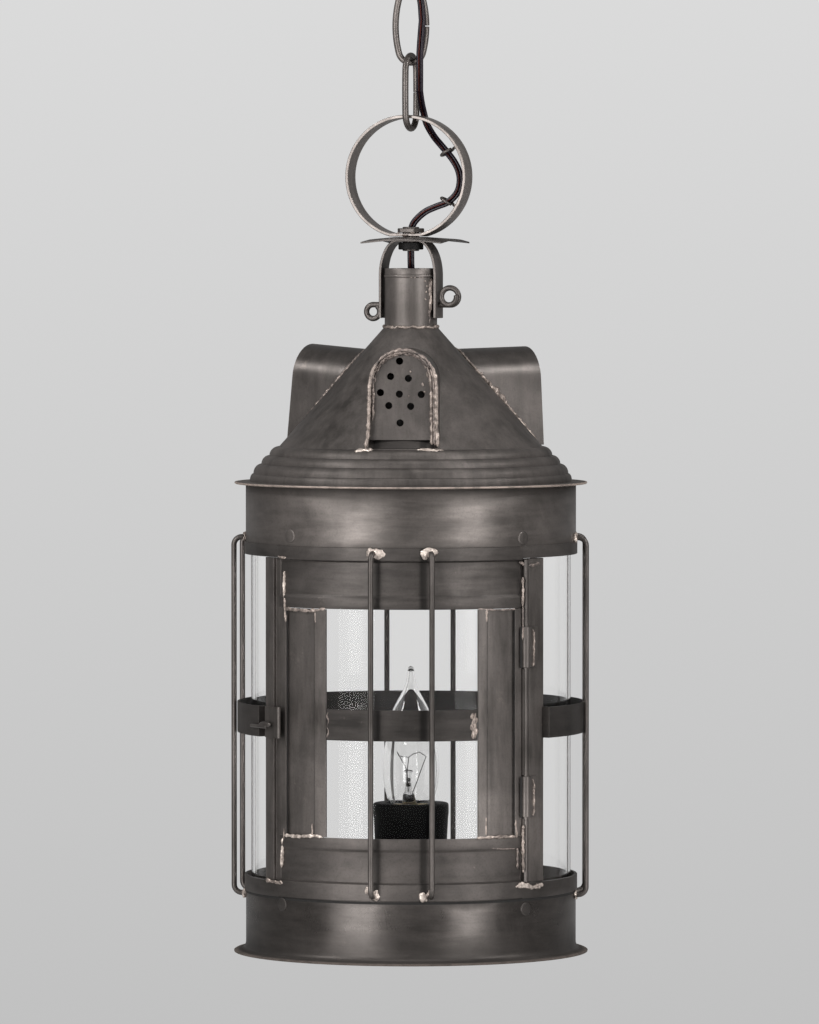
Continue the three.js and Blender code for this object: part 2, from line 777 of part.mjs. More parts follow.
function pinHole(half) {
  const hole = new THREE.CylinderGeometry(PIN_R + PIN_CLEAR, PIN_R + PIN_CLEAR, half * 2, BULB_STEPS);
  hole.rotateZ(Math.PI / 2);
  hole.translate(0, 0, PIN_Z);
  return hole;
}

// The pivot pin ends in curled eyes: the left one turned down, the right one turned up and over
function pivotPin() {
  const leftEye = new THREE.Vector3(-LEFT_EYE_OUT, 0, PIN_Z - LEFT_EYE_R);
  const rightEye = new THREE.Vector3(RIGHT_EYE_OUT, 0, PIN_Z + RIGHT_EYE_R);
  const leftCurl = arcPoints(leftEye, LEFT_EYE_R, 90 + LEFT_EYE_TURN, 90, LEFT_EYE_STEPS, X, Z);
  const rightEnd = -90 + RIGHT_EYE_TURN;
  const rightCurl = arcPoints(rightEye, RIGHT_EYE_R, -90, rightEnd, RIGHT_EYE_STEPS, X, Z);
  const lead = (2 * PIN_R + SEAT) / 360;
  rightCurl.forEach((point, i) => {
    point.y -= (lead * RIGHT_EYE_TURN * i) / RIGHT_EYE_STEPS;
  });
  return wire([...leftCurl, ...rightCurl], PIN_R, THIN_SIDES);
}

// Suspension cords, by hand: across, along the strip and down, in the suspension's own turn
const CORD_CANOPY = [
  [0, 0, -33.8],
  [0.3, -0.8, -38.5],
  [1.8, -3.2, -44.5],
  [4.6, -4.8, -51.5],
  [7.6, -4.9, -60.5],
  [8.6, -4.7, -72],
];
const CORD_LINKS = [
  [8.6, -4.7, -72.3],
  [7.8, -4.8, -82],
  [7.2, -4.8, -91],
  [6.6, -3.2, -101],
  [5.4, 0, -112],
];
const CORD_RING_TOP = [
  [5.2, 0.6, -113.1],
  [4.6, 4.9, -118.8],
  [4.6, 9, -125],
  [6.2, 9.4, -131],
  [11, 7.6, -138],
  [17, 3.6, -143.4],
  [21.2, 0.8, -146.9],
];
const CORD_RING = [
  [22, 0.5, -147.8],
  [25.8, 0, -152.2],
  [28.8, 0, -157.5],
  [30, 0, -163.5],
  [28.4, 0, -170.5],
  [22.9, 0, -176],
  [15.6, 0, -178.8],
  [9.4, 0, -181.4],
  [4.8, 0, -184.8],
  [1.5, 0, -188.6],
  [0.2, 0, -192.4],
  [0, 0, -197],
  [0, 0, -207],
];
const CORD_NECK = [
  [0, 0, -207.3],
  [0, 0.3, -213],
  [0, 2.3, -221],
  [0, 4.3, -229],
  [0, 4.5, -240],
];

// The collar: a soldered tube with a rolled bead and holes for the pivot pin
function collar() {
  const half = COLLAR_BEAD * 2;
  const outline = [
    [COLLAR_R - SHEET, CONE_TOP_Z + SEAT],
    [COLLAR_R, CONE_TOP_Z + SEAT],
    [COLLAR_R, COLLAR_BEAD_Z - half],
    [COLLAR_R + COLLAR_BEAD, COLLAR_BEAD_Z],
    [COLLAR_R, COLLAR_BEAD_Z + half],
    [COLLAR_R, COLLAR_TOP],
    [COLLAR_R - SHEET, COLLAR_TOP],
  ];
  const tube = revolve(outline, 0, 360, COLLAR_STEPS);
  const hole = pinHole(COLLAR_R + CUT_PAST);
  hole.rotateZ(rad(SUSPENSION_TURN - BODY_TURN));
  return cut(tube, hole);
}

// The roof's outer line from the eave inwards and up: rounded beads, then the cone
const roofCorners = [[CONE_FOOT_R, CONE_FOOT_Z], ...ROOF_BEADS];
const eaveRoot = [ROOF_BEADS.at(-1)[0], ROOF_EAVE[1] + EAVE_RISE];

function roofLine() {
  const line = [ROOF_EAVE, eaveRoot];
  for (let i = roofCorners.length - 1; i > 0; i -= 1) {
    const [outR, outZ] = roofCorners[i];
    const [inR, inZ] = roofCorners[i - 1];
    for (let k = 0; k < BEAD_STEPS; k += 1) {
      const a = (Math.PI / 2) * (k / BEAD_STEPS);
      line.push([inR + (outR - inR) * Math.cos(a), outZ + (inZ - outZ) * Math.sin(a)]);
    }
  }
  line.push([CONE_FOOT_R, CONE_FOOT_Z], [CONE_TOP_R, CONE_TOP_Z]);
  return line;
}

// Inside, the beads are left as plain slopes
function roofInnerLine() {
  const corners = roofCorners.filter((corner, i) => i % 2 === 0).reverse();
  const line = [ROOF_EAVE, eaveRoot, ...corners, [CONE_TOP_R, CONE_TOP_Z]];
  return offsetLine(line, SHEET);
}

// Everything under the roof's outer face, grown by a clearance, to trim what stands on it
function underRoof(clearance) {
  const slope = Math.hypot(CONE_FOOT_R - CONE_TOP_R, CONE_TOP_Z - CONE_FOOT_Z);
  const lift = (clearance * slope) / (CONE_FOOT_R - CONE_TOP_R);
  const foot = CONE_FOOT_Z + lift;
  const outline = [
    [0, foot - TRIM_DEPTH],
    [ROOF_EAVE[0] + CUT_PAST, foot - TRIM_DEPTH],
    [ROOF_EAVE[0] + CUT_PAST, foot],
    [CONE_FOOT_R, foot],
    [CONE_TOP_R, CONE_TOP_Z + lift],
    [0, CONE_TOP_Z + lift],
  ];
  return revolve(outline);
}

function roof() {
  const shell = revolve([...roofLine(), ...roofInnerLine().reverse()]);
  const vents = Object.values(DORMERS).map(({ azimuth }) => {
    const length = VENT_TO - VENT_FROM;
    const middle = -(VENT_FROM + VENT_TO) / 2;
    const vent = box(VENT_HALF * 2, length, CONE_TOP_Z - CONE_FOOT_Z, 0, middle, HOOD_AXIS_Z);
    vent.rotateZ(rad(azimuth));
    return vent;
  });
  return cut(shell, ...vents);
}

// Half-round arch over walls that flare a little, closed at the foot
function archShape(half, foot, flare) {
  const shape = new THREE.Shape();
  const flared = half + flare;
  shape.moveTo(-flared, foot);
  shape.lineTo(flared, foot);
  shape.lineTo(half, HOOD_AXIS_Z);
  shape.absarc(0, HOOD_AXIS_Z, half, 0, Math.PI, false);
  shape.lineTo(-flared, foot);
  return shape;
}

// A hood's pieces lean back about a line behind its front, so the ridge rises outwards
function lean(piece, { reach, tilt, pivot }) {
  piece.translate(0, reach - pivot, -HOOD_AXIS_Z);
  piece.rotateX(-rad(tilt));
  piece.translate(0, pivot - reach, HOOD_AXIS_Z);
}

// A barrel-vaulted hood that dies into the cone behind it
function dormerHood(dormer) {
  const { reach } = dormer;
  const foot = CONE_FOOT_Z - CUT_PAST;
  const shape = archShape(HOOD_HALF, foot, HOOD_FLARE);
  const vault = uprightPlate(shape, reach, VAULT_SEGMENTS);
  const hollowShape = archShape(HOOD_HALF - HOOD_SHEET, foot - CUT_PAST, HOOD_FLARE);
  const hollow = uprightPlate(hollowShape, reach + 2 * CUT_PAST, VAULT_SEGMENTS);
  [vault, hollow].forEach((piece) => {
    piece.translate(0, -reach / 2, 0);
    lean(piece, dormer);
  });
  return cut(vault, hollow, underRoof(SEAT));
}

// The vent's plate stands inside the hood and is pierced in a diamond of round holes
function dormerGrille(dormer) {
  const half = HOOD_HALF - HOOD_SHEET - SEAT;
  const shape = archShape(half, CONE_FOOT_Z - CUT_PAST, HOOD_FLARE);
  const plate = uprightPlate(shape, SHEET, VAULT_SEGMENTS);
  const middle = GRILLE_INSET + SHEET / 2 - dormer.reach;
  plate.translate(0, middle, 0);
  const holes = [];
  const deep = SHEET + 2 * CUT_PAST;
  const sides = GRILLE_HOLE_SIDES;
  GRILLE_ROW_HOLES.forEach((count, row) => {
    for (let i = 0; i < count; i += 1) {
      const hole = new THREE.CylinderGeometry(GRILLE_HOLE_R, GRILLE_HOLE_R, deep, sides);
      const x = GRILLE_ASIDE + (i - (count - 1) / 2) * 2 * GRILLE_PITCH_X;
      hole.translate(x, middle, GRILLE_TOP_HOLE_Z - row * GRILLE_PITCH_Z);
      holes.push(hole);
    }
  });
  [plate, ...holes].forEach((piece) => lean(piece, dormer));
  return cut(plate, underRoof(SEAT), ...holes);
}

// Rim bands run round the back from post to post; in front the door carries its own
const rimR = DRUM_R + RIM_PROUD;
const drumTop = ROOF_EAVE[1] - SHEET - SEAT;
const lowRimFoot = LOW_DRUM_TOP - RIM_BAND - LOW_BAND_EXTRA;

function withoutFrontBand(drum, zLow, zHigh) {
  const reach = rimR * 2;
  const left = polar(reach, -DOOR_EDGES.left - DOOR_BAND_CLEAR);
  const right = polar(reach, DOOR_EDGES.right + DOOR_BAND_CLEAR);
  const front = new THREE.Shape([new THREE.Vector2(0, 0), left, right]);
  const height = zHigh - zLow + 2 * CUT_PAST;
  const wedge = new THREE.ExtrudeGeometry(front, { depth: height, bevelEnabled: false });
  wedge.translate(0, 0, zLow - CUT_PAST);
  const ring = wallRing(DRUM_R, rimR + CUT_PAST, zLow - CUT_PAST, zHigh + CUT_PAST);
  return cut(drum, overlap(ring, wedge));
}

function topDrum() {
  const bandTop = TOP_DRUM_BOTTOM + RIM_BAND;
  const outline = [
    [DRUM_R - SHEET, TOP_DRUM_BOTTOM],
    [rimR, TOP_DRUM_BOTTOM],
    [rimR, bandTop],
    [DRUM_R, bandTop],
    [DRUM_R, drumTop],
    [DRUM_R - SHEET, drumTop],
  ];
  return withoutFrontBand(revolve(outline), TOP_DRUM_BOTTOM, bandTop - CUT_PAST);
}

function bottomDrum() {
  const flare = LOW_DRUM_FLARE.map(([out, up]) => [DRUM_R + out, LOW_DRUM_BOTTOM + up]);
  const inside = offsetLine([...flare, [DRUM_R, LOW_DRUM_TOP]], SHEET);
  const outside = [
    ...flare,
    [DRUM_R, lowRimFoot],
    [rimR, lowRimFoot],
    [rimR, LOW_DRUM_TOP],
  ];
  const drum = revolve([...outside, ...inside.reverse()]);
  return withoutFrontBand(drum, lowRimFoot + CUT_PAST, LOW_DRUM_TOP);
}

// The floor is a shallow pan, its rim turned down inside the drum, with a hole for the holder
function floorPlate() {
  const outer = DRUM_R - SHEET - SEAT;
  const outline = [
    [NIPPLE_R + SEAT, FLOOR_TOP],
    [NIPPLE_R + SEAT, FLOOR_TOP - SHEET],
    [outer - SHEET, FLOOR_TOP - SHEET],
    [outer - SHEET, FLOOR_TOP - FLOOR_RIM],
    [outer, FLOOR_TOP - FLOOR_RIM],
    [outer, FLOOR_TOP - FLOOR_ROUND],
    [outer - FLOOR_ROUND, FLOOR_TOP],
  ];
  return revolve(outline, 0, 360, FLOOR_STEPS);
}

// A guard wire is bent in at both ends and soldered to a seat of a given radius
function guardWire(seatR, zLow, zHigh) {
  const bend = GUARD_BEND;
  const inner = GUARD_R - bend;
  const forward = Y.clone().negate();
  const end = seatR + SEAT;
  const top = new THREE.Vector3(0, -inner, zHigh - bend);
  const bottom = new THREE.Vector3(0, -inner, zLow + bend);
  const points = [
    new THREE.Vector3(0, -end, zHigh),
    ...arcPoints(top, bend, 90, 0, GUARD_BEND_STEPS, forward, Z),
    ...arcPoints(bottom, bend, 0, -90, GUARD_BEND_STEPS, forward, Z),
    new THREE.Vector3(0, -end, zLow),
  ];
  return wire(points, GUARD_WIRE_R, THIN_SIDES);
}

// A door jamb: a stop behind the door's edge, a rebate beside it, a ridge and a proud face
function post(side) {
  const low = LOW_DRUM_TOP + SEAT;
  const high = TOP_DRUM_BOTTOM - SEAT;
  const at = side > 0 ? POSTS.right : POSTS.left;
  const sector = (rInner, rOuter, from, to, past, steps) => {
    const [a, b] = side > 0 ? [from, to] : [-to, -from];
    return wallRing(rInner, rOuter, low - past, high + past, a, b, steps);
  };
  const inner = GLASS_R + SEAT;
  const bar = sector(inner, POST_FACE_R, at.from, at.to, 0, STILE_STEPS);
  const rebate = sector(
    POST_REBATE_R,
    POST_FACE_R + CUT_PAST,
    at.from - CUT_PAST,
    at.ridge,
    CUT_PAST,
    SHORT_STEPS,
  );
  const stopOuter = DOOR_FACE_R - SHEET - SEAT;
  const stopFrom = at.from - STOP_REACH;
  const stop = sector(stopOuter - STOP_THICK, stopOuter, stopFrom, at.from + STOP_ROOT, 0, SHORT_STEPS);
  return join(cut(bar, rebate), stop);
}

// The hoop runs round the back inside the guard wires, its ends turned in to the posts
const hoopOuter = GUARD_R - GUARD_WIRE_R - SEAT;
const hoopInner = hoopOuter - HOOP_STRIP;
const bandLow = MID_BAND_Z - MID_BAND_TALL / 2;
const bandHigh = MID_BAND_Z + MID_BAND_TALL / 2;

// A band's end turned in to the face of a post
function turnedLip(outer, from) {
  return wallRing(POST_FACE_R + SEAT, outer, bandLow, bandHigh, from, from + LIP_TURN, 1);
}

function hoop() {
  const [right, left] = [HOOP_END_RIGHT, HOOP_END_LEFT];
  const strip = wallRing(hoopInner, hoopOuter, bandLow, bandHigh, right, left, BACK_STEPS);
  return join(strip, turnedLip(hoopOuter, right), turnedLip(hoopOuter, left - LIP_TURN));
}

// The catch: a leaf off the left post with a rolled free edge
function latchClip() {
  const [from, to] = [LATCH_FROM, LATCH_TO];
  const outer = hoopOuter - LATCH_IN;
  const leaf = wallRing(outer - SHEET, outer, bandLow, bandHigh, from, to, STILE_STEPS);
  const roll = cylinder(LATCH_ROLL_R, bandLow, bandHigh, ROD_SIDES);
  const place = polar(outer + LATCH_ROLL_R - SHEET, to);
  roll.translate(place.x, place.y, 0);
  return join(leaf, turnedLip(outer, from), roll);
}

// A bolt of round wire that slides across the groove between hoop and catch
function latchPin() {
  const r = hoopOuter + SEAT + LATCH_PIN_R;
  const points = [];
  const steps = LATCH_PIN_STEPS;
  for (let i = 0; i <= steps; i += 1) {
    const at = polar(r, LATCH_PIN_FROM + ((LATCH_PIN_TO - LATCH_PIN_FROM) * i) / steps);
    points.push(new THREE.Vector3(at.x, at.y, LATCH_PIN_Z));
  }
  return wire(points, LATCH_PIN_R);
}

// Door rails: the rim band that laps the drum, the flat, and the channel over the glass
const doorBandInner = DRUM_R + DOOR_BAND_LAP;
const doorBandOuter = doorBandInner + SHEET;
const channelFace = DOOR_FACE_R + CHANNEL_PROUD;

function doorRail(drumEdge, apertureEdge, up, bandTall) {
  const bandEdge = drumEdge + up * (bandTall - SEAT);
  const step = drumEdge - up * SEAT;
  const crease = apertureEdge + up * CHANNEL_WIDTH;
  const face = [
    [doorBandOuter, bandEdge],
    [doorBandOuter, step - up * BAND_FOLD],
    [DOOR_FACE_R, step - up * (BAND_FOLD + FOLD_RISE)],
    [DOOR_FACE_R, crease + up * CREASE_HALF],
    [channelFace, crease - up * CREASE_HALF],
    [channelFace, apertureEdge],
  ];
  const back = [
    [channelFace - SHEET, apertureEdge],
    [channelFace - SHEET, crease - up * (CREASE_HALF + FOLD_BACK)],
    [DOOR_FACE_R - SHEET, crease + up * (CREASE_HALF - FOLD_BACK)],
    [DOOR_FACE_R - SHEET, step - up * FOLD_RISE],
    [doorBandInner, step],
    [doorBandInner, bandEdge],
  ];
  return revolve([...face, ...back], -DOOR_EDGES.left, DOOR_EDGES.right, DOOR_STEPS);
}

// A stile: the flat, the channel beside the glass and, on the hinge side, an upstand for the rod
const stileLow = APERTURE_BOTTOM + DOOR_GAP;
const stileHigh = APERTURE_TOP - DOOR_GAP;
const rodGap = HINGE_ROD_R + SEAT;
const upstandOut = HINGE_AZ - THREE.MathUtils.radToDeg(rodGap / HINGE_R);
const upstandIn = upstandOut - THREE.MathUtils.radToDeg(SHEET / HINGE_R);

function stileSector(rInner, rOuter, from, to, side) {
  const [a, b] = side > 0 ? [from, to] : [-to, -from];
  return wallRing(rInner, rOuter, stileLow, stileHigh, a, b, STILE_STEPS);
}

function doorStile(side) {
  const back = DOOR_FACE_R - SHEET;
  const edge = side > 0 ? upstandOut : DOOR_EDGES.left;
  const wallIn = CHANNEL_TO - CHANNEL_WALL_TURN;
  const flat = stileSector(back, DOOR_FACE_R, wallIn, edge, side);
  const wall = stileSector(back, channelFace, wallIn, CHANNEL_TO, side);
  const channel = stileSector(channelFace - SHEET, channelFace, APERTURE_HALF, CHANNEL_TO, side);
  if (side < 0) return join(flat, wall, channel);
  const upstand = stileSector(back, HINGE_R + UPSTAND_PROUD, upstandIn, upstandOut, side);
  const notches = Object.values(HINGE_STRAPS).map((z) => {
    const half = HINGE_STRAP_TALL / 2 + NOTCH_CLEAR;
    const from = upstandIn - NOTCH_CLEAR;
    return wallRing(DOOR_FACE_R, HINGE_R + CUT_PAST, z - half, z + half, from, HINGE_AZ, 1);
  });
  return cut(join(flat, wall, channel, upstand), ...notches);
}

function doorMidBand() {
  const reach = APERTURE_HALF - THREE.MathUtils.radToDeg(SEAT / channelFace);
  return wallRing(channelFace - SHEET, channelFace, bandLow, bandHigh, -reach, reach, DOOR_STEPS);
}

// The door's pane sits in the channels of the stiles and rails
function doorGlass() {
  const outer = channelFace - SHEET - SEAT;
  const inner = outer - DOOR_GLASS_THICK;
  const low = APERTURE_BOTTOM - DOOR_GLASS_LAP;
  const high = APERTURE_TOP + DOOR_GLASS_LAP;
  const reach = APERTURE_HALF + DOOR_GLASS_LAP;
  return wallRing(inner, outer, low, high, -reach, reach, DOOR_STEPS);
}

function hingeRod() {
  const at = polar(HINGE_R, HINGE_AZ);
  const rod = cylinder(HINGE_ROD_R, LOW_DRUM_TOP + SEAT * 2, TOP_DRUM_BOTTOM - SEAT * 2, ROD_SIDES);
  rod.translate(at.x, at.y, 0);
  return closed(rod);
}

// A hinge strap: a tail on the post's face that wraps over the outside of the rod
function hingeStrap(z) {
  const inner = HINGE_ROD_R + SEAT;
  const outer = inner + SHEET;
  const [start, end] = [Math.PI / 2, rad(WRAP_END)];
  const leave = new THREE.Vector2(Math.sin(rad(WRAP_LEAVES)), Math.cos(rad(WRAP_LEAVES)));
  const seat = (x) => POST_FACE_R + SEAT - HINGE_R - (x * x) / (2 * HINGE_R);
  const bend = inner + WRAP_BEND;
  const tail = HINGE_R * rad(HINGE_STRAP_TO - HINGE_AZ);
  const outline = new THREE.Shape();
  outline.absarc(0, 0, outer, start, end, false);
  outline.absarc(0, 0, inner, end, start, true);
  outline.lineTo(inner * leave.x, inner * leave.y);
  outline.lineTo(bend, seat(bend));
  outline.lineTo(tail, seat(tail));
  outline.lineTo(tail, seat(tail) + SHEET);
  outline.lineTo(bend + WRAP_EASE, seat(bend) + SHEET);
  outline.lineTo(outer * leave.x, outer * leave.y);
  const strap = new THREE.ExtrudeGeometry(outline, {
    depth: HINGE_STRAP_TALL,
    bevelEnabled: false,
    curveSegments: WRAP_SEGMENTS,
  });
  strap.translate(0, HINGE_R, -HINGE_STRAP_TALL / 2);
  strap.scale(-1, 1, 1);
  strap.rotateZ(Math.PI + rad(HINGE_AZ));
  strap.translate(0, 0, z);
  return closed(strap);
}

// Glass stands on the floor pan behind the posts, open towards the door
function bodyGlass() {
  const low = FLOOR_TOP + SEAT;
  const inner = GLASS_R - GLASS_THICK;
  return wallRing(inner, GLASS_R, low, GLASS_TOP, GLASS_EDGES.right, GLASS_EDGES.left, BACK_STEPS);
}

// The lamp holder: a tapered cup whose threaded stem passes through the floor
function socket() {
  const foot = FLOOR_TOP + SEAT;
  const boreFoot = SOCKET_TOP - SOCKET_DEPTH;
  const outline = [
    [0, foot - SOCKET_STEM],
    [NIPPLE_R, foot - SOCKET_STEM],
    [NIPPLE_R, foot],
    [SOCKET_FOOT_R, foot],
    [SOCKET_FOOT_R, foot + SOCKET_FOOT_TALL],
    [SOCKET_FOOT_R + SOCKET_ROUND, foot + SOCKET_FOOT_TALL + SOCKET_ROUND],
    [SOCKET_TOP_R, SOCKET_TOP - SOCKET_RIM_TALL],
    [SOCKET_TOP_R, SOCKET_TOP - SOCKET_ROUND],
    [SOCKET_TOP_R - SOCKET_ROUND, SOCKET_TOP],
    [SOCKET_BORE + SOCKET_ROUND, SOCKET_TOP],
    [SOCKET_BORE, SOCKET_TOP - SOCKET_ROUND],
    [SOCKET_BORE, boreFoot],
    [0, boreFoot],
  ];
  return revolve(outline, 0, 360, SMALL_STEPS);
}

// The flame-tip bulb: envelope, screwed base, and glass stem with its filament
function bulbGlass() {
  const outline = [...BULB_LINE, ...[...BULB_INNER_LINE].reverse()];
  return revolve(outline.map(([r, z]) => [r, BULB_BASE_TOP + z]), 0, 360, BULB_STEPS);
}

function bulbBase() {
  const top = BULB_BASE_TOP;
  const bottom = top - BULB_BASE_LENGTH;
  const neckFoot = top - BULB_NECK_IN - SEAT;
  const thread = [];
  for (let i = THREAD_TURNS * 2; i >= 0; i -= 1) {
    const depth = i % 2 === 0 ? 0 : THREAD_DEPTH;
    thread.push([BULB_BASE_R - depth, top - THREAD_FROM_TOP - i * THREAD_HALF_PITCH]);
  }
  const outline = [
    ...BULB_CONTACT_LINE.map(([r, z]) => [r, bottom + z]),
    ...thread,
    [BULB_BASE_R, top],
    [BULB_NECK_R + SEAT, top],
    [BULB_NECK_R + SEAT, neckFoot],
    [0, neckFoot],
  ];
  return revolve(outline, 0, 360, BULB_STEPS);
}

function bulbFilament() {
  const foot = BULB_BASE_TOP - BULB_NECK_IN;
  const stem = revolve(STEM_LINE.map(([r, z]) => [r, foot + z]), 0, 360, BULB_STEPS);
  const leadZ = foot + STEM_TALL - STEM_LEADS_IN;
  const points = [new THREE.Vector3(-STEM_LEADS_HALF, 0, leadZ)];
  for (let i = 0; i <= FILAMENT_WAVES; i += 1) {
    const side = i % 2;
    const x = -FILAMENT_HALF + (2 * FILAMENT_HALF * i) / FILAMENT_WAVES;
    const y = FILAMENT_SWAY * (2 * side - 1);
    points.push(new THREE.Vector3(x, y, FILAMENT_Z - FILAMENT_DIP * side));
  }
  points.push(new THREE.Vector3(STEM_LEADS_HALF, 0, leadZ));
  return join(stem, wire(points, FILAMENT_WIRE_R, THIN_SIDES));
}

// The lead from the collar to the holder, in the lantern's own turn: kept behind the right post
const LEAD_START = [
  [1.3, 4.3, -240.3],
  [1.8, 3.8, -250],
  [10, -2.5, -272],
];
const LEAD_BY_POST = [
  [46.3, -303],
  [14.7, -330],
  [2.1, -350],
  [0.2, -368],
  [0, -400],
  [0, -545],
  [4.2, -561],
  [19.5, -568.6],
];
const LEAD_ON_FLOOR = [
  [47.7, -569.4],
  [20, -569.4],
];

function innerLead() {
  const postR = GLASS_R - GLASS_THICK - CORD_R - LEAD_CLEAR;
  const along = [...LEAD_BY_POST.map(([inwards, z]) => [postR - inwards, z]), ...LEAD_ON_FLOOR];
  const places = along.map(([r, z]) => [...polar(r, LEAD_AZ).toArray(), z]);
  return cordTube([...LEAD_START, ...places], CORD_STEPS.inner);
}

const lantern = new THREE.Group();

const suspension = new THREE.Group();
suspension.rotation.z = rad(SUSPENSION_TURN);
lantern.add(suspension);

const body = new THREE.Group();
body.rotation.z = rad(BODY_TURN);
lantern.add(body);

// Ceiling fitting
addTo(suspension, 'mounting_strap', crossbar(), 'wornMetal');
addTo(suspension, 'canopy', canopy(), 'darkMetal');
const ceilingTube = threadedTube(-CANOPY_DEPTH - SEAT - LOOP_THREAD_DEPTH + SEAT, -CROSSBAR.thick / 2);
addTo(suspension, 'canopy_nipple', ceilingTube, 'wornMetal');
addTo(suspension, 'canopy_loop', canopyLoop(), 'darkMetal');

// Chain
addTo(suspension, 'chain_link_upper', chainLink(upperLinkBottom, X, LINK_ENDS.upper), 'darkMetal');
addTo(suspension, 'chain_link_lower', chainLink(lowerLinkBottom, Y, LINK_ENDS.lower), 'darkMetal');

// Ring and bail
addTo(suspension, 'top_ring', flatRing(), 'wornMetal');
addTo(suspension, 'wire_guide_upper', wireGuide(1), 'wireMetal');
addTo(suspension, 'wire_guide_lower', wireGuide(-1), 'wireMetal');
addTo(suspension, 'ring_nut', hexNut(ringNutBottom, NUT_HEIGHT), 'wornMetal');
const tubeTop = ringNutBottom + NUT_HEIGHT + NIPPLE_PROUD;
addTo(suspension, 'bail_nipple', threadedTube(lockNutBottom - NIPPLE_PROUD, tubeTop), 'wornMetal');
addTo(suspension, 'cap_plate', capPlate(), 'darkMetal');
addTo(suspension, 'bail_strap', bailStrap(), 'wornMetal');
addTo(suspension, 'lock_nut', lockNut(), 'wireMetal');
addTo(suspension, 'pivot_pin', pivotPin(), 'wireMetal');

// Cord
addTo(suspension, 'cord_canopy', cordTube(CORD_CANOPY, CORD_STEPS.canopy), 'cord');
addTo(suspension, 'cord_links', cordTube(CORD_LINKS, CORD_STEPS.links), 'cord');
addTo(suspension, 'cord_ring_top', cordTube(CORD_RING_TOP, CORD_STEPS.ringTop), 'cord');
addTo(suspension, 'cord_ring', cordTube(CORD_RING, CORD_STEPS.ring), 'cord');
addTo(suspension, 'cord_neck', cordTube(CORD_NECK, CORD_STEPS.neck), 'cord');
addTo(body, 'inner_lead', innerLead(), 'cord');

// Roof
addTo(body, 'collar', collar(), 'wornMetal');
addTo(body, 'roof', roof(), 'darkMetal');
Object.entries(DORMERS).forEach(([place, dormer]) => {
  const turned = new THREE.Group();
  turned.rotation.z = rad(dormer.azimuth);
  body.add(turned);
  addTo(turned, `dormer_hood_${place}`, dormerHood(dormer), 'darkMetal');
  addTo(turned, `dormer_grille_${place}`, dormerGrille(dormer), 'darkMetal');
});

// Drums, posts and hoop
addTo(body, 'top_drum', topDrum(), 'darkMetal');
addTo(body, 'bottom_drum', bottomDrum(), 'darkMetal');
addTo(body, 'floor_plate', floorPlate(), 'wornMetal');
addTo(body, 'post_right', post(1), 'darkMetal');
addTo(body, 'post_left', post(-1), 'darkMetal');
addTo(body, 'hoop', hoop(), 'darkMetal');
addTo(body, 'body_glass', bodyGlass(), 'glass');

// Guard wires
const bandTopZ = TOP_DRUM_BOTTOM + RIM_BAND / 2;
const bandBottomZ = lowRimFoot + GUARD_LIFT;
const sideTopZ = TOP_DRUM_BOTTOM + RIM_BAND + GUARD_RISE;
const sideBottomZ = lowRimFoot - GUARD_RISE;
Object.entries(GUARD_PAIRS).forEach(([place, pair]) => {
  const onDoor = place === 'front';
  const seatR = onDoor ? doorBandOuter : DRUM_R;
  const [low, high] = onDoor ? [bandBottomZ, bandTopZ] : [sideBottomZ, sideTopZ];
  [-1, 1].forEach((side) => {
    const turned = new THREE.Group();
    turned.rotation.z = rad(pair.azimuth + side * pair.half);
    body.add(turned);
    const which = side < 0 ? 'a' : 'b';
    addTo(turned, `guard_wire_${place}_${which}`, guardWire(seatR, low, high), 'wireMetal');
  });
});

// Door, hinge and latch
addTo(body, 'door_rail_top', doorRail(TOP_DRUM_BOTTOM, APERTURE_TOP, 1, RIM_BAND), 'darkMetal');
const lowRail = doorRail(LOW_DRUM_TOP, APERTURE_BOTTOM, -1, RIM_BAND + LOW_BAND_EXTRA);
addTo(body, 'door_rail_bottom', lowRail, 'darkMetal');
addTo(body, 'door_stile_right', doorStile(1), 'darkMetal');
addTo(body, 'door_stile_left', doorStile(-1), 'darkMetal');
addTo(body, 'door_mid_band', doorMidBand(), 'darkMetal');
addTo(body, 'door_glass', doorGlass(), 'glass');
addTo(body, 'hinge_rod', hingeRod(), 'wireMetal');
Object.entries(HINGE_STRAPS).forEach(([place, z]) => {
  addTo(body, `hinge_strap_${place}`, hingeStrap(z), 'wornMetal');
});
addTo(body, 'latch_clip', latchClip(), 'darkMetal');
addTo(body, 'latch_pin', latchPin(), 'wireMetal');

// Lamp
addTo(body, 'socket', socket(), 'holder');
addTo(body, 'bulb_glass', bulbGlass(), 'glass');
addTo(body, 'bulb_base', bulbBase(), 'brass');
addTo(body, 'bulb_filament', bulbFilament(), 'filament');

export default lantern;
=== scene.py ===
import bpy
import bmesh
import math
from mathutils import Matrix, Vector, noise


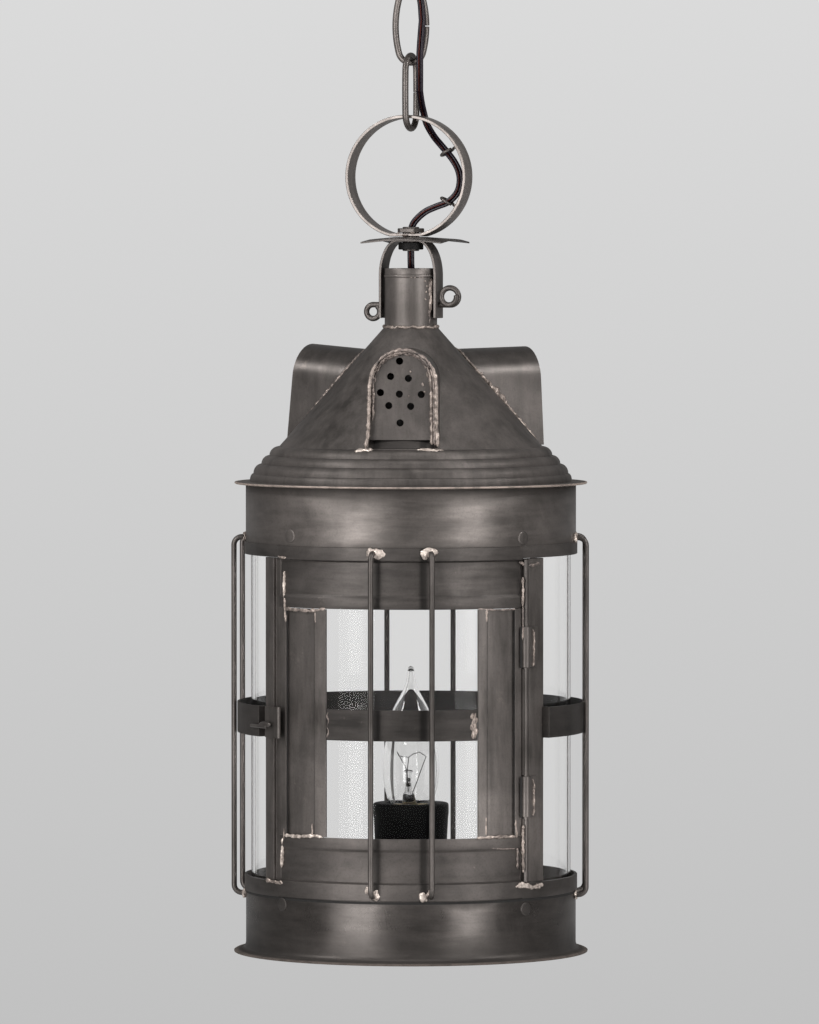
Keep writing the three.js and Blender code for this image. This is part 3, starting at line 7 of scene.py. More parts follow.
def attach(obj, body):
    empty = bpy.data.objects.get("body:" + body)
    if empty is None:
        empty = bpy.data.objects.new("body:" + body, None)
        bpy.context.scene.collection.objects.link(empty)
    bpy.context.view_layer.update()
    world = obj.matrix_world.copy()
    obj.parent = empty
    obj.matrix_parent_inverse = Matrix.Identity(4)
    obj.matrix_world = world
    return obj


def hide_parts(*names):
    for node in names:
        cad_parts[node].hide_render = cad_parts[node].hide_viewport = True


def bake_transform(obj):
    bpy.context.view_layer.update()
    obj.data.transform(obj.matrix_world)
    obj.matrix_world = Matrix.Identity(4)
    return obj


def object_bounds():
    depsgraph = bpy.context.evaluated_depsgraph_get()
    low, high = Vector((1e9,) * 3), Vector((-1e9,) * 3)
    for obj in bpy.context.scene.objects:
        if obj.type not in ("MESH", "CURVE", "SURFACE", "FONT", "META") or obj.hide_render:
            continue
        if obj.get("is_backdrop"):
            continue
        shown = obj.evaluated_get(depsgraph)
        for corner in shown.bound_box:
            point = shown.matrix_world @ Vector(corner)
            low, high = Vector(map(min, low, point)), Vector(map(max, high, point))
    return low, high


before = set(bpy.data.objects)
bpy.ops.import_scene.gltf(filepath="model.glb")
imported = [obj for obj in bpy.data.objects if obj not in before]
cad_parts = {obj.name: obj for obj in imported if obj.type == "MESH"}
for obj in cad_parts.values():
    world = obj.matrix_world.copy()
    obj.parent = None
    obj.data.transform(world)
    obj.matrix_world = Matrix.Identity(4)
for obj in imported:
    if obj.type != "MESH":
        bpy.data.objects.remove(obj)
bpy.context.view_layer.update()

# Main sizes: mm, degrees about the axis, and heights below the ceiling

MM = 0.001
Z = Vector((0, 0, 1))
BODY_TURN = -3.4
HANG_TURN = -20.0
SEAT = 0.3
STRIP_HALF = 6.35
PIPE_R = 5.1
COLLAR_R = 15.1
SPRING = -278.5
DRUM_IN, DRUM_R = 94.2, 95.0
TOP_DRUM_LOW, BOTTOM_DRUM_HIGH = -378.0, -562.5
STILE_LOW, STILE_HIGH = -535.6, -406.5
BAND_LOW, BAND_HIGH = -471.8 - 8.8, -471.8 + 8.8
STRAP_HEIGHTS = (-428.5, -513.5)

# The photograph's view: its axis and ceiling in pixels, its scale at the axis, and the camera's place in mm

AXIS_PX, CEILING_PY = 411.9, -104.0
MM_PER_PX = 0.5754
FRONT_SHARE = 0.985
CAMERA_ASIDE, CAMERA_AWAY, CAMERA_Z = -1.1, 4660.0, -184.0
CAMERA_AIM = (-0.8, 0.0, -354.4)


# Places

def spun(x, y, z, angle):
    """A point in metres from mm, turned about the axis."""
    a = math.radians(angle)
    return Vector((x * math.cos(a) - y * math.sin(a), x * math.sin(a) + y * math.cos(a), z)) * MM


def around(r, az, z, turn=BODY_TURN):
    """A point in metres from a radius, an azimuth (0 front, 90 right) and a height."""
    return spun(0, -r, z, az + turn)


def outward(az):
    return around(1, az, 0).normalized()


def on_body(x, y, z):
    return spun(x, y, z, BODY_TURN)


def hang(x, y, z):
    """A point in metres from the suspension's own mm."""
    return spun(x, y, z, HANG_TURN)


HANG_X, HANG_Y = hang(1, 0, 0).normalized(), hang(0, 1, 0).normalized()


def from_photo(px, py, r):
    """A point in metres on the front of a drum of radius r, where the photograph shows it."""
    x = max(-r, min(r, (px - AXIS_PX) * MM_PER_PX))
    scale = (CAMERA_AWAY - math.sqrt(r * r - x * x)) / CAMERA_AWAY
    x *= scale
    z = CAMERA_Z + ((CEILING_PY - py) * MM_PER_PX - CAMERA_Z) * scale
    return Vector((x, -math.sqrt(max(r * r - x * x, 0.0)), z)) * MM


def az_at(px, r):
    """The body's azimuth where the photograph shows a point px across, on a drum of radius r."""
    return math.degrees(math.asin((px - AXIS_PX) * MM_PER_PX * FRONT_SHARE / r)) - BODY_TURN


# Camera

camera_data = bpy.data.cameras.new("camera")
camera_data.lens = 284.9
camera_data.sensor_width = 36.0
camera_data.clip_start = 0.1
camera_data.clip_end = 60.0
camera = bpy.data.objects.new("camera", camera_data)
bpy.context.scene.collection.objects.link(camera)
camera.location = Vector((CAMERA_ASIDE, -CAMERA_AWAY, CAMERA_Z)) * MM
aim = Vector(CAMERA_AIM) * MM - camera.location
camera.rotation_mode = "QUATERNION"
camera.rotation_quaternion = aim.to_track_quat("-Z", "Y")
bpy.context.scene.camera = camera


# Materials

def srgb(r, g, b):
    def linear(c):
        c /= 255.0
        return c / 12.92 if c <= 0.04045 else ((c + 0.055) / 1.055) ** 2.4
    return (linear(r), linear(g), linear(b), 1.0)


def toned(colour, tone):
    return tuple(min(1.0, c * tone) for c in colour[:3]) + (1.0,)


class Nodes:
    """A small wrapper that adds nodes to one tree."""

    def __init__(self, tree, coordinates):
        self.tree = tree
        self.tree.nodes.clear()
        self.where = self.node("ShaderNodeTexCoord").outputs[coordinates]

    def put(self, socket, value):
        """Feed a socket from another node's output, or set its own value."""
        if isinstance(value, bpy.types.NodeSocket):
            self.tree.links.new(value, socket)
        else:
            socket.default_value = value

    def node(self, kind, inputs=None, **values):
        made = self.tree.nodes.new(kind)
        for key, value in values.items():
            setattr(made, key, value)
        for key, value in (inputs or {}).items():
            self.put(made.inputs[key], value)
        return made

    def noise(self, scale, detail=4.0, rough=0.55, stretch=None, warp=0.0):
        source = self.where
        if stretch:
            source = self.node("ShaderNodeMapping", {"Vector": source, "Scale": stretch}).outputs[0]
        made = self.node("ShaderNodeTexNoise", {"Vector": source, "Scale": scale, "Detail": detail,
                                                "Roughness": rough, "Distortion": warp})
        return made.outputs["Fac"]

    def ramp(self, value, stops):
        made = self.node("ShaderNodeValToRGB", {0: value})
        elements = made.color_ramp.elements
        while len(elements) < len(stops):
            elements.new(0.5)
        for element, (place, colour) in zip(elements, stops):
            element.position = place
            element.color = colour
        return made.outputs[0]

    def span(self, value, low, high, to_low=0.0, to_high=1.0):
        made = self.node("ShaderNodeMapRange", {"Value": value, "From Min": low, "From Max": high,
                                                "To Min": to_low, "To Max": to_high})
        return made.outputs[0]

    def mix(self, share, a, b):
        return self.node("ShaderNodeMix", {0: share, 6: a, 7: b}, data_type="RGBA").outputs[2]

    def math(self, how, a, b=0.0):
        return self.node("ShaderNodeMath", {0: a, 1: b}, operation=how).outputs[0]

    def places(self):
        return self.node("ShaderNodeSeparateXYZ", {0: self.where}).outputs


class Paint(Nodes):
    """One material and the nodes round its shader."""

    def __init__(self, name):
        self.material = bpy.data.materials.new(name)
        self.material.use_nodes = True
        super().__init__(self.material.node_tree, "Object")
        self.shader = self.node("ShaderNodeBsdfPrincipled")
        self.node("ShaderNodeOutputMaterial", {0: self.shader.outputs[0]})

    def looks(self, **values):
        """Set the shader's sockets, named with _ for a space."""
        for name, value in values.items():
            self.put(self.shader.inputs[name.replace("_", " ")], value)

    def radius(self):
        x, y, z = self.places()
        return self.math("SQRT", self.math("ADD", self.math("POWER", x, 2.0), self.math("POWER", y, 2.0)))

    def bump(self, *layers):
        """Stack layers of (height, strength, distance in metres)."""
        last = None
        for height, strength, distance in layers:
            made = self.node("ShaderNodeBump", {"Strength": strength, "Distance": distance, "Height": height})
            if last is not None:
                self.put(made.inputs["Normal"], last)
            last = made.outputs[0]
        self.put(self.shader.inputs["Normal"], last)


DARK, MID, LIGHT = srgb(61, 57, 54), srgb(88, 83, 80), srgb(120, 113, 109)
WORN = srgb(166, 152, 143)
UPRIGHT, LEVEL = (1.0, 1.0, 0.16), (0.16, 0.16, 1.0)
MATT_FROM, MATT_TO, MATT = 0.0953, 0.0975, 0.66


def aged(name, tone=1.0, rough=(0.36, 0.56), wear=0.25, metallic=0.75, streak=UPRIGHT, rim=None, ends=None,
         wire_shadows=()):
    """Darkened sheet metal: cloudy patina, wiped streaks, fine grain and rubbed spots.

    Some have a rubbed, matt rim: the radii where it starts and ends, and its share. A drum gets painted
    shade towards its ends, darker and duller where its highlight falls off: the low and the high one, each a
    height and a depth. The door's cross pieces get painted shadows of the wires, dark strips beside them:
    places across and half widths. All in metres."""
    p = Paint(name)
    dark, mid, light = (toned(colour, tone) for colour in (DARK, MID, LIGHT))
    colour = p.ramp(p.noise(16.0, 5.0, 0.6, warp=0.6), [(0.30, dark), (0.52, mid), (0.74, light)])
    wiped = p.noise(150.0, 4.0, 0.6, stretch=streak)
    crept = p.noise(75.0, 7.0, 0.7, stretch=streak, warp=0.3)
    grain = p.noise(900.0, 3.0, 0.6)
    rubbed = p.noise(55.0, 9.0, 0.72, warp=0.4)
    specks = p.noise(260.0, 2.0, 0.5)
    for pattern, low, high, share, over in (
            (wiped, 0.38, 0.72, 0.5, light), (crept, 0.52, 0.72, 0.5, dark), (grain, 0.5, 0.75, 0.32, dark),
            (rubbed, 0.62, 0.80, wear, WORN), (specks, 0.76, 0.80, 0.5 * wear, WORN)):
        colour = p.mix(p.span(pattern, low, high, 0.0, share), colour, over)
    shine = p.noise(38.0, 6.0, 0.65, stretch=(1.0, 1.0, 0.5), warp=0.3)
    matt = p.span(shine, 0.25, 0.75, *rough)
    if rim:
        low, high, share = rim
        radius = p.radius()
        broken = p.span(p.noise(120.0, 5.0, 0.7), 0.3, 0.55, 0.25, 1.0)
        colour = p.mix(p.math("MULTIPLY", p.span(radius, low, high, 0.0, share), broken), colour, WORN)
        matt = p.math("MAXIMUM", matt, p.span(radius, MATT_FROM, MATT_TO, 0.0, MATT))
    # painted shade: darker towards the drum's ends; the roughness rises there too
    if ends:
        low, low_depth, high, high_depth = ends
        ragged = p.span(p.noise(30.0, 4.0, 0.6), 0.3, 0.7, -0.003, 0.003)
        height = p.math("ADD", p.places()[2], ragged)
        end_shade = p.math("MAXIMUM", p.span(height, low, low + low_depth, 1.0, 0.0),
                      p.span(height, high - high_depth, high, 0.0, 1.0))
        colour = p.mix(p.math("MULTIPLY", end_shade, 0.62), colour, dark)
        matt = p.math("ADD", matt, p.math("MULTIPLY", end_shade, 0.18))
    # painted shadows of the guard wires: dark strips beside them, on the front only
    for across, half in wire_shadows:
        x, y, z = p.places()
        away = p.math("ABSOLUTE", p.math("SUBTRACT", x, across))
        in_front = p.math("LESS_THAN", y, 0.0)
        strip = p.math("MULTIPLY", p.span(away, 0.4 * half, half, 0.62, 0.0), in_front)
        colour = p.mix(strip, colour, toned(dark, 0.25))
    p.looks(Base_Color=colour, Metallic=metallic, Roughness=matt)
    p.bump((grain, 0.10, 0.00012), (wiped, 0.05, 0.0002), (p.noise(22.0, 2.0, 0.5), 0.25, 0.0011))
    return p.material


def solder(name, pale, dull, spread):
    """Solder lines: pale and pinkish where bright, dull brown where the patina took."""
    p = Paint(name)
    patches = p.noise(210.0, 5.0, 0.65, warp=0.8)
    p.looks(Base_Color=p.ramp(patches, [(spread[0], dull), (spread[1], pale)]), Metallic=0.6,
            Roughness=p.span(patches, 0.3, 0.7, 0.55, 0.36))
    p.bump((p.noise(420.0, 4.0, 0.6), 0.5, 0.0004))
    return p.material


def clear(name, tint=(0.984, 0.983, 0.981, 1.0), wave=0.00012, bend=1.46):
    """Drawn sheet glass: clear, with faint waves and a trace of haze."""
    p = Paint(name)
    haze = p.noise(30.0, 4.0, 0.6, stretch=(1.0, 1.0, 0.2))
    p.looks(Base_Color=tint, Transmission_Weight=1.0, IOR=bend, Roughness=p.span(haze, 0.35, 0.8, 0.0, 0.02))
    p.bump((p.noise(28.0, 1.0, 0.4, stretch=(1.0, 1.0, 0.12)), 0.2, wave))
    return p.material


def moulded(name, colour, rough, gloss=0.28):
    """Moulded phenolic: near black, with a soft sheen and fine mould grain."""
    p = Paint(name)
    cloud = p.noise(120.0, 4.0, 0.6)
    p.looks(Base_Color=p.ramp(cloud, [(0.35, colour), (0.75, toned(colour, 1.8))]), Specular_IOR_Level=gloss,
            Roughness=p.span(cloud, 0.3, 0.7, *rough))
    p.bump((p.noise(1500.0, 2.0, 0.5), 0.12, 0.0001))
    return p.material


def plain_metal(name, low, high, rough=(0.25, 0.4)):
    """Bare turned metal with fine turning marks."""
    p = Paint(name)
    cloud = p.noise(70.0, 5.0, 0.6)
    p.looks(Base_Color=p.ramp(cloud, [(0.3, low + (1.0,)), (0.7, high + (1.0,))]), Metallic=1.0,
            Roughness=p.span(cloud, 0.3, 0.7, *rough))
    p.bump((p.noise(900.0, 2.0, 0.5, stretch=(0.2, 0.2, 1.0)), 0.15, 0.0001))
    return p.material


# level streaks, and painted shadows of the guard wires on the rails and bands
LEVEL_AND_WIRE_SHADOWS = {"streak": LEVEL, "wire_shadows": ((-0.0196, 0.0030), (0.0072, 0.0030))}
SHEET_METAL = aged("aged_sheet")
ROOF_METAL = aged("aged_roof", 0.84, (0.47, 0.62), rim=(0.1000, 0.1010, 1.0))
HOOD_METAL = aged("aged_hood", 0.76, (0.30, 0.44), 0.3)
# lit and shaded copies of the drums' metal: the top drum's lighter tone is painted light from the front, the
# bottom drum's darker tone is painted shade
LIT_DRUM_METAL = aged("lit_aged_drum", 1.24, (0.31, 0.46), streak=LEVEL, ends=(-0.372, 0.006, -0.338, 0.011))
SHADED_LOW_DRUM_METAL = aged("shaded_aged_low_drum", 0.72, (0.22, 0.36), streak=LEVEL, rim=(0.0985, 0.1010, 0.85),
                      ends=(-0.603, 0.016, -0.571, 0.005))
DOOR_METAL = aged("aged_door", 1.0, (0.38, 0.56), 0.35)
RAIL_METAL = aged("aged_rail", 0.68, (0.38, 0.56), 0.35, **LEVEL_AND_WIRE_SHADOWS)
# a darker copy of the rail's metal: painted shade on the lower rail, the bottom drum's band, two creases and
# the lower rivets
SHADED_LOW_METAL = aged("shaded_low_rail", 0.62, (0.40, 0.58), 0.3, **LEVEL_AND_WIRE_SHADOWS)
BAND_METAL = aged("aged_band", 0.42, (0.45, 0.62), **LEVEL_AND_WIRE_SHADOWS)
# near black: the lock nut's colour, and painted shade on the hoop's inner faces
DARK_SHADE_METAL = aged("dark_and_shade_metal", 0.09, (0.55, 0.75), 0.08, metallic=0.5, streak=LEVEL)
POST_METAL = aged("aged_post", 1.08, (0.40, 0.58), 0.4)
WIRE_METAL = aged("aged_wire", 0.78, (0.34, 0.52), 0.2)
# a darker, shaded copy of the wire metal for the back pair: painted shade
SHADED_BACK_WIRE = aged("shaded_back_wire", 0.30, (0.42, 0.6), 0.12)
LINK_METAL = aged("aged_link", 1.25, (0.32, 0.48), 0.6)
RING_METAL = aged("aged_ring", 2.1, (0.26, 0.42), 0.5)
HARDWARE = aged("worn_hardware", 1.2, (0.36, 0.52), 0.5)
CAP_METAL = aged("aged_cap", 0.72, (0.36, 0.52), 0.3)
# painted shade: near black for gaps, slots, creases and the roof's inside
SHADE_METAL = aged("shaded_gap", 0.10, (0.7, 0.85), 0.0, metallic=0.2)
SOLDERS = {
    "bright": solder("bright_solder", srgb(190, 175, 165), srgb(96, 87, 82), (0.38, 0.70)),
    "dull": solder("dull_solder", srgb(156, 142, 134), srgb(86, 79, 76), (0.40, 0.68)),
    "clean": solder("clean_solder", srgb(216, 203, 193), srgb(118, 106, 99), (0.33, 0.62)),
}
GLASS = clear("clear_glass", bend=1.13)
BULB_GLASS = clear("bulb_glass_clear", wave=0.00002)
STEM_GLASS = clear("stem_glass", tint=(0.80, 0.80, 0.80, 1.0), wave=0.0003, bend=1.2)
HOLDER = moulded("black_holder", (0.0012, 0.0012, 0.0012, 1.0), (0.5, 0.65), gloss=0.05)
STRAND = moulded("dark_strand", (0.008, 0.005, 0.009, 1.0), (0.2, 0.34))
BRASS = plain_metal("bulb_cap_brass", (0.45, 0.34, 0.16), (0.66, 0.52, 0.28))
TUNGSTEN = plain_metal("filament_wire", (0.020, 0.019, 0.018), (0.07, 0.066, 0.062), (0.4, 0.55))
COPPER = plain_metal("copper_strand", (0.040, 0.013, 0.012), (0.075, 0.024, 0.020), (0.35, 0.5))


# Mesh helpers

def make(name, verts, faces, materials, angle=34.0, marks=None):
    """A smooth object, sharp where faces meet at more than the angle; marks number the faces' materials."""
    mesh = bpy.data.meshes.new(name)
    mesh.from_pydata([tuple(v) for v in verts], [], faces)
    if marks:
        mesh.polygons.foreach_set("material_index", marks)
    work = bmesh.new()
    work.from_mesh(mesh)
    bmesh.ops.remove_doubles(work, verts=work.verts, dist=1e-7)
    bmesh.ops.recalc_face_normals(work, faces=work.faces)
    work.to_mesh(mesh)
    work.free()
    mesh.shade_smooth()
    mesh.set_sharp_from_angle(angle=math.radians(angle))
    for material in materials if isinstance(materials, list) else [materials]:
        mesh.materials.append(material)
    made = bpy.data.objects.new(name, mesh)
    bpy.context.scene.collection.objects.link(made)
    return made


def soften(piece, width, segments=2, angle=50.0):
    """Round the edges off over a width in mm."""
    bevel = piece.modifiers.new("edges", "BEVEL")
    bevel.width = width * MM
    bevel.segments = segments
    bevel.limit_method = "ANGLE"
    bevel.angle_limit = math.radians(angle)
    bevel.harden_normals = True


def settle(piece, node=None, body="lantern"):
    """Fix a piece to its body and the solid that it stands for."""
    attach(piece, body)
    if node:
        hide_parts(node)


def form_of(mesh):
    return [v.co.copy() for v in mesh.vertices], [tuple(f.vertices) for f in mesh.polygons]


def copy_of(node, material, width, angle=34.0, body="lantern"):
    """The solid's own form with smooth round faces and softened edges."""
    verts, faces = form_of(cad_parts[node].data)
    piece = make(node + "_dressed", verts, faces, material, angle)
    if width:
        work = bmesh.new()
        work.from_mesh(piece.data)
        bmesh.ops.dissolve_limit(work, angle_limit=math.radians(0.6), verts=work.verts, edges=work.edges)
        work.to_mesh(piece.data)
        work.free()
        piece.data.set_sharp_from_angle(angle=math.radians(angle))
        soften(piece, width, angle=42.0)
    settle(piece, node, body)


def skin(count, size, closed=False, skip=()):
    """Faces between neighbours in a row of equal outlines, which is closed on itself or has end faces."""
    faces = []
    for i in range(count if closed else count - 1):
        a, b = i * size, (i + 1) % count * size
        for k in range(size):
            n = (k + 1) % size
            if k not in skip:
                faces.append((a + k, a + n, b + n, b + k))
    if not closed:
        faces += [tuple(range(size)), tuple(range((count - 1) * size, count * size))]
    return faces


def box(inner, outer, low, high):
    """A section with square corners: two radii and two heights."""
    return [(inner, low), (outer, low), (outer, high), (inner, high)]


def turned(name, outline, material, steps=176, start=0.0, end=360.0, turn=BODY_TURN, angle=34.0):
    """A closed outline of (radius, height) turned about the axis, right round or from start to end."""
    whole = end - start >= 360.0
    count = steps if whole else steps + 1
    size = len(outline)
    verts = []
    for i in range(count):
        az = start + (end - start) * i / steps
        verts.extend(around(r, az, z, turn) for r, z in outline)
    on_axis = [k for k in range(size) if outline[k][0] == outline[(k + 1) % size][0] == 0]
    return make(name, verts, skin(count, size, whole, on_axis), material, angle)


def frames_along(points, start_normal=None):
    """Tangents and turned-with normals along a line of points."""
    tangents = []
    for i in range(len(points)):
        tangents.append((points[min(i + 1, len(points) - 1)] - points[max(i - 1, 0)]).normalized())
    normal = start_normal or (Z if abs(tangents[0].z) < 0.9 else Vector((1, 0, 0)))
    result = []
    for tangent in tangents:
        normal = (normal - tangent * normal.dot(tangent)).normalized()
        result.append((tangent, normal))
    return result


def tube(points, radius, sides=14, chamfer=0.3, start_normal=None, flat=1.0):
    """Vertices and faces of a round tube through points, with one radius or one per point, all in metres."""
    radii = radius if isinstance(radius, list) else [radius] * len(points)
    frames = frames_along(points, start_normal)
    rings = list(zip(points, frames, radii))
    if chamfer:
        first_cut, last_cut = chamfer * radii[0], chamfer * radii[-1]
        rings[0] = (points[0] + frames[0][0] * first_cut, frames[0], radii[0])
        rings[-1] = (points[-1] - frames[-1][0] * last_cut, frames[-1], radii[-1])
        rings.insert(0, (points[0], frames[0], radii[0] - first_cut))
        rings.append((points[-1], frames[-1], radii[-1] - last_cut))
    verts = []
    for centre, (tangent, normal), r in rings:
        side = tangent.cross(normal)
        for k in range(sides):
            a = 2 * math.pi * k / sides
            verts.append(centre + (normal * math.cos(a) + side * math.sin(a) * flat) * r)
    return verts, skin(len(rings), sides)


def gather(parts):
    verts, faces = [], []
    for part_verts, part_faces in parts:
        base = len(verts)
        verts.extend(part_verts)
        faces.extend(tuple(base + i for i in face) for face in part_faces)
    return verts, faces


def arc(centre, radius, start, end, steps, first, second=Z):
    """Points in metres on an arc of a radius in mm, from one direction towards a second."""
    points = []
    for i in range(steps + 1):
        a = math.radians(start + (end - start) * i / steps)
        points.append(centre + (first * math.cos(a) + second * math.sin(a)) * (radius * MM))
    return points


def between(a, b, ta, tb, t):
    return a * ((tb - t) / (tb - ta)) + b * ((t - ta) / (tb - ta))


def spline(places, step):
    """A centripetal curve through points, cut into short equal steps, and its length."""
    points = [Vector(p) for p in places]
    line = [points[0] * 2 - points[1], *points, points[-1] * 2 - points[-2]]
    dense = []
    for p0, p1, p2, p3 in zip(line, line[1:], line[2:], line[3:]):
        t1 = math.sqrt((p1 - p0).length)
        t2 = t1 + math.sqrt((p2 - p1).length)
        t3 = t2 + math.sqrt((p3 - p2).length)
        for k in range(12):
            t = t1 + (t2 - t1) * k / 12
            a1, a2, a3 = between(p0, p1, 0.0, t1, t), between(p1, p2, t1, t2, t), between(p2, p3, t2, t3, t)
            b1, b2 = between(a1, a2, 0.0, t2, t), between(a2, a3, t1, t3, t)
            dense.append(between(b1, b2, t1, t2, t))
    dense.append(points[-1])
    lengths = [0.0]
    for a, b in zip(dense, dense[1:]):
        lengths.append(lengths[-1] + (b - a).length)
    count = max(4, round(lengths[-1] / step))
    out, j = [], 0
    for i in range(count + 1):
        want = lengths[-1] * i / count
        while j < len(lengths) - 2 and lengths[j + 1] < want:
            j += 1
        share = (want - lengths[j]) / max(lengths[j + 1] - lengths[j], 1e-9)
        out.append(dense[j].lerp(dense[j + 1], min(max(share, 0.0), 1.0)))
    return out, lengths[-1]


# Cords: two dark strands and a thin copper one, in five stretches from the ceiling to the collar

CORD_STRETCHES = [
    ("cord_canopy", ("ceiling", "link_upper"), [
        (0, 0, -33.8), (0.3, -0.8, -38.5), (1.8, -3.2, -44.5), (4.6, -4.8, -51.5), (7.6, -4.9, -60.5),
        (8.6, -4.7, -72.1)]),
    ("cord_links", ("link_upper", "link_lower"), [
        (8.6, -4.7, -72.1), (7.8, -4.8, -82), (7.2, -4.8, -91), (6.6, -3.2, -101), (5.35, 0.15, -112.4)]),
    ("cord_ring_top", ("link_lower", "bail"), [
        (5.35, 0.15, -112.4), (4.6, 4.9, -118.8), (4.6, 9, -125), (6.2, 9.4, -131), (11, 7.6, -138),
        (17, 3.6, -143.4), (21.6, 0.65, -147.3)]),
    ("cord_ring", ("bail",), [
        (21.6, 0.65, -147.3), (25.8, 0, -152.2), (28.8, 0, -157.5), (30, 0, -163.5), (28.4, 0, -170.5),
        (22.9, 0, -176), (15.6, 0, -178.8), (9.4, 0, -181.4), (4.8, 0, -184.8), (1.5, 0, -188.6),
        (0.2, 0, -192.4), (0, 0, -197), (0, 0, -207.1)]),
    ("cord_neck", ("bail", "lantern"), [
        (0, 0, -207.1), (0, 0.3, -213), (0, 2.3, -221), (0, 4.3, -229), (0, 4.5, -240)]),
]
STRAND_R, COPPER_R = 1.0, 0.4
# Each strand's place across and above the cord's middle, its radius, its sides and its material's number
STRANDS = ((-1.0, 0.0, STRAND_R, 10, 0), (1.0, 0.0, STRAND_R, 10, 0), (-0.55, 0.95, COPPER_R, 8, 1))


def cord(name, points, normal):
    """Two round strands side by side and the copper one in their groove; also the last normal."""
    frames = frames_along(points, normal)
    parts, marks = [], []
    for across, up, r, sides, mark in STRANDS:
        line = []
        for point, (tangent, side) in zip(points, frames):
            line.append(point + (side * across + tangent.cross(side) * up) * MM)
        part = tube(line, r * MM, sides, 0.0, normal)
        parts.append(part)
        marks.extend([mark] * len(part[1]))
    return make(name, *gather(parts), [STRAND, COPPER], 60.0, marks), frames[-1][1]


cord_normal = hang(1, 0.25, 0).normalized()
for cord_name, bodies, places in CORD_STRETCHES:
    line, cord_length = spline([hang(*p) for p in places], 1.2 * MM)
    piece, cord_normal = cord(cord_name + "_strands", line, cord_normal)
    if len(bodies) == 2:
        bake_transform(piece)
    else:
        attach(piece, bodies[0])
    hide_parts(cord_name)

# The lead inside: its upper end, then radii and heights down behind the right post
LEAD_TOP = [(1.3, 4.3, -240.3), (1.8, 3.8, -250), (10, -2.5, -272)]
LEAD_AZ = 57.0
LEAD_FALL = [(40, -303), (71.6, -330), (84.2, -350), (86.1, -368), (86.3, -400), (86.3, -545), (82.1, -561),
             (66.8, -568.6), (47.7, -569.4), (20, -569.4)]
lead_line = [on_body(*p) for p in LEAD_TOP] + [around(r, LEAD_AZ, z) for r, z in LEAD_FALL]
piece, cord_normal = cord("inner_lead_strands", spline(lead_line, 2.4 * MM)[0], cord_normal)
settle(piece, "inner_lead")


# Chain links, ring and guides

LINK_WIRE = 3.7
LINK_HALF = (22.4 - LINK_WIRE) / 2
LINK_TALL = 45.5 - LINK_WIRE


def link(name, low, across, end, gap, node):
    """An oval link of four bends, butted in its right side; end is the radius of its end bends."""
    rise = LINK_TALL / 2 - end
    side = (LINK_HALF ** 2 + rise ** 2 - end ** 2) / (2 * (LINK_HALF - end))
    lean = math.degrees(math.atan2(rise, side - LINK_HALF))
    open_by = math.degrees(gap / side)

    def bend(aside, up, radius, start, finish, steps):
        centre = (across * aside + Z * (low + LINK_TALL / 2 + up)) * MM
        return arc(centre, radius, start, finish, steps, across)

    points = bend(LINK_HALF - side, 0, side, open_by, lean, 10)[:-1]
    points += bend(0, rise, end, lean, 180 - lean, 26)
    points += bend(side - LINK_HALF, 0, side, 180 - lean, 180 + lean, 20)[1:-1]
    points += bend(0, -rise, end, 180 + lean, 360 - lean, 26)
    points += bend(LINK_HALF - side, 0, side, -lean, -open_by, 10)[1:]
    piece = make(name, *tube(points, LINK_WIRE / 2 * MM, 16, 0.12), LINK_METAL)
    settle(piece, "chain_" + node, node)


link("link_wire_upper", -96.161, HANG_X, 7.6, 0.3, "link_upper")
link("link_wire_lower", -133.961, HANG_Y, 9.1, 0.08, "link_lower")

RING_SHEET = 1.8
RING_HALF_WIDE = 36.7
RING_FOOT_HALF = 9.4
RING_ASIDE = -1.3
RING_TOP, RING_FOOT = -126.2, -195.9
RING_HALF_TALL = (RING_TOP - RING_FOOT) / (1 + math.sqrt(1 - (RING_FOOT_HALF / RING_HALF_WIDE) ** 2))
RING_CENTRE = RING_TOP - RING_HALF_TALL


def oval(inset, steps=150):
    """The ring's outline, inset by some mm: an oval with a flat foot."""
    tall = RING_HALF_TALL - inset
    foot = math.asin((RING_FOOT + inset - RING_CENTRE) / tall)
    points = []
    for i in range(steps + 1):
        a = foot + (math.pi - 2 * foot) * i / steps
        points.append((RING_ASIDE + (RING_HALF_WIDE - inset) * math.cos(a), RING_CENTRE + tall * math.sin(a)))
    return points


def strip(name, outer, inner, closed, material, node, width):
    """A flat strip bent along an outer and an inner line of (across, height)."""
    verts = []
    for (xo, zo), (xi, zi) in zip(outer, inner):
        verts += [hang(xo, -STRIP_HALF, zo), hang(xo, STRIP_HALF, zo),
                  hang(xi, STRIP_HALF, zi), hang(xi, -STRIP_HALF, zi)]
    piece = make(name, verts, skin(len(outer), 4, closed), material, 50.0)
    soften(piece, width, 3)
    settle(piece, node, "bail")


strip("top_ring_strip", oval(0.0), oval(RING_SHEET), True, RING_METAL, "top_ring", 0.4)

GUIDE_TILT = 31.0
GUIDE_EYE_R = 4.0
GUIDE_WIRE_R = 0.8


def guide(name, side, node):
    """A wire eye that stands inwards from the ring, and the place of its foot."""
    tilt = math.radians(GUIDE_TILT) * side
    outwards = (HANG_X * math.cos(tilt) + Z * math.sin(tilt)).normalized()
    half_wide, half_tall = RING_HALF_WIDE - RING_SHEET, RING_HALF_TALL - RING_SHEET
    reach = 1 / math.hypot(math.cos(tilt) / half_wide, math.sin(tilt) / half_tall)
    foot = hang(RING_ASIDE, 0, RING_CENTRE) + outwards * ((reach - SEAT - 2 * GUIDE_WIRE_R / 3) * MM)
    eye = foot - outwards * ((2.2 + GUIDE_EYE_R) * MM)
    points = [foot] + arc(eye, GUIDE_EYE_R, 12, 330, 40, outwards, HANG_Y)
    piece = make(name, *tube(points, GUIDE_WIRE_R * MM, 12, 0.2), LINK_METAL, 60.0)
    settle(piece, node, "bail")
    return foot


guide_feet = [guide("guide_eye_upper", 1, "wire_guide_upper"),
              guide("guide_eye_lower", -1, "wire_guide_lower")]

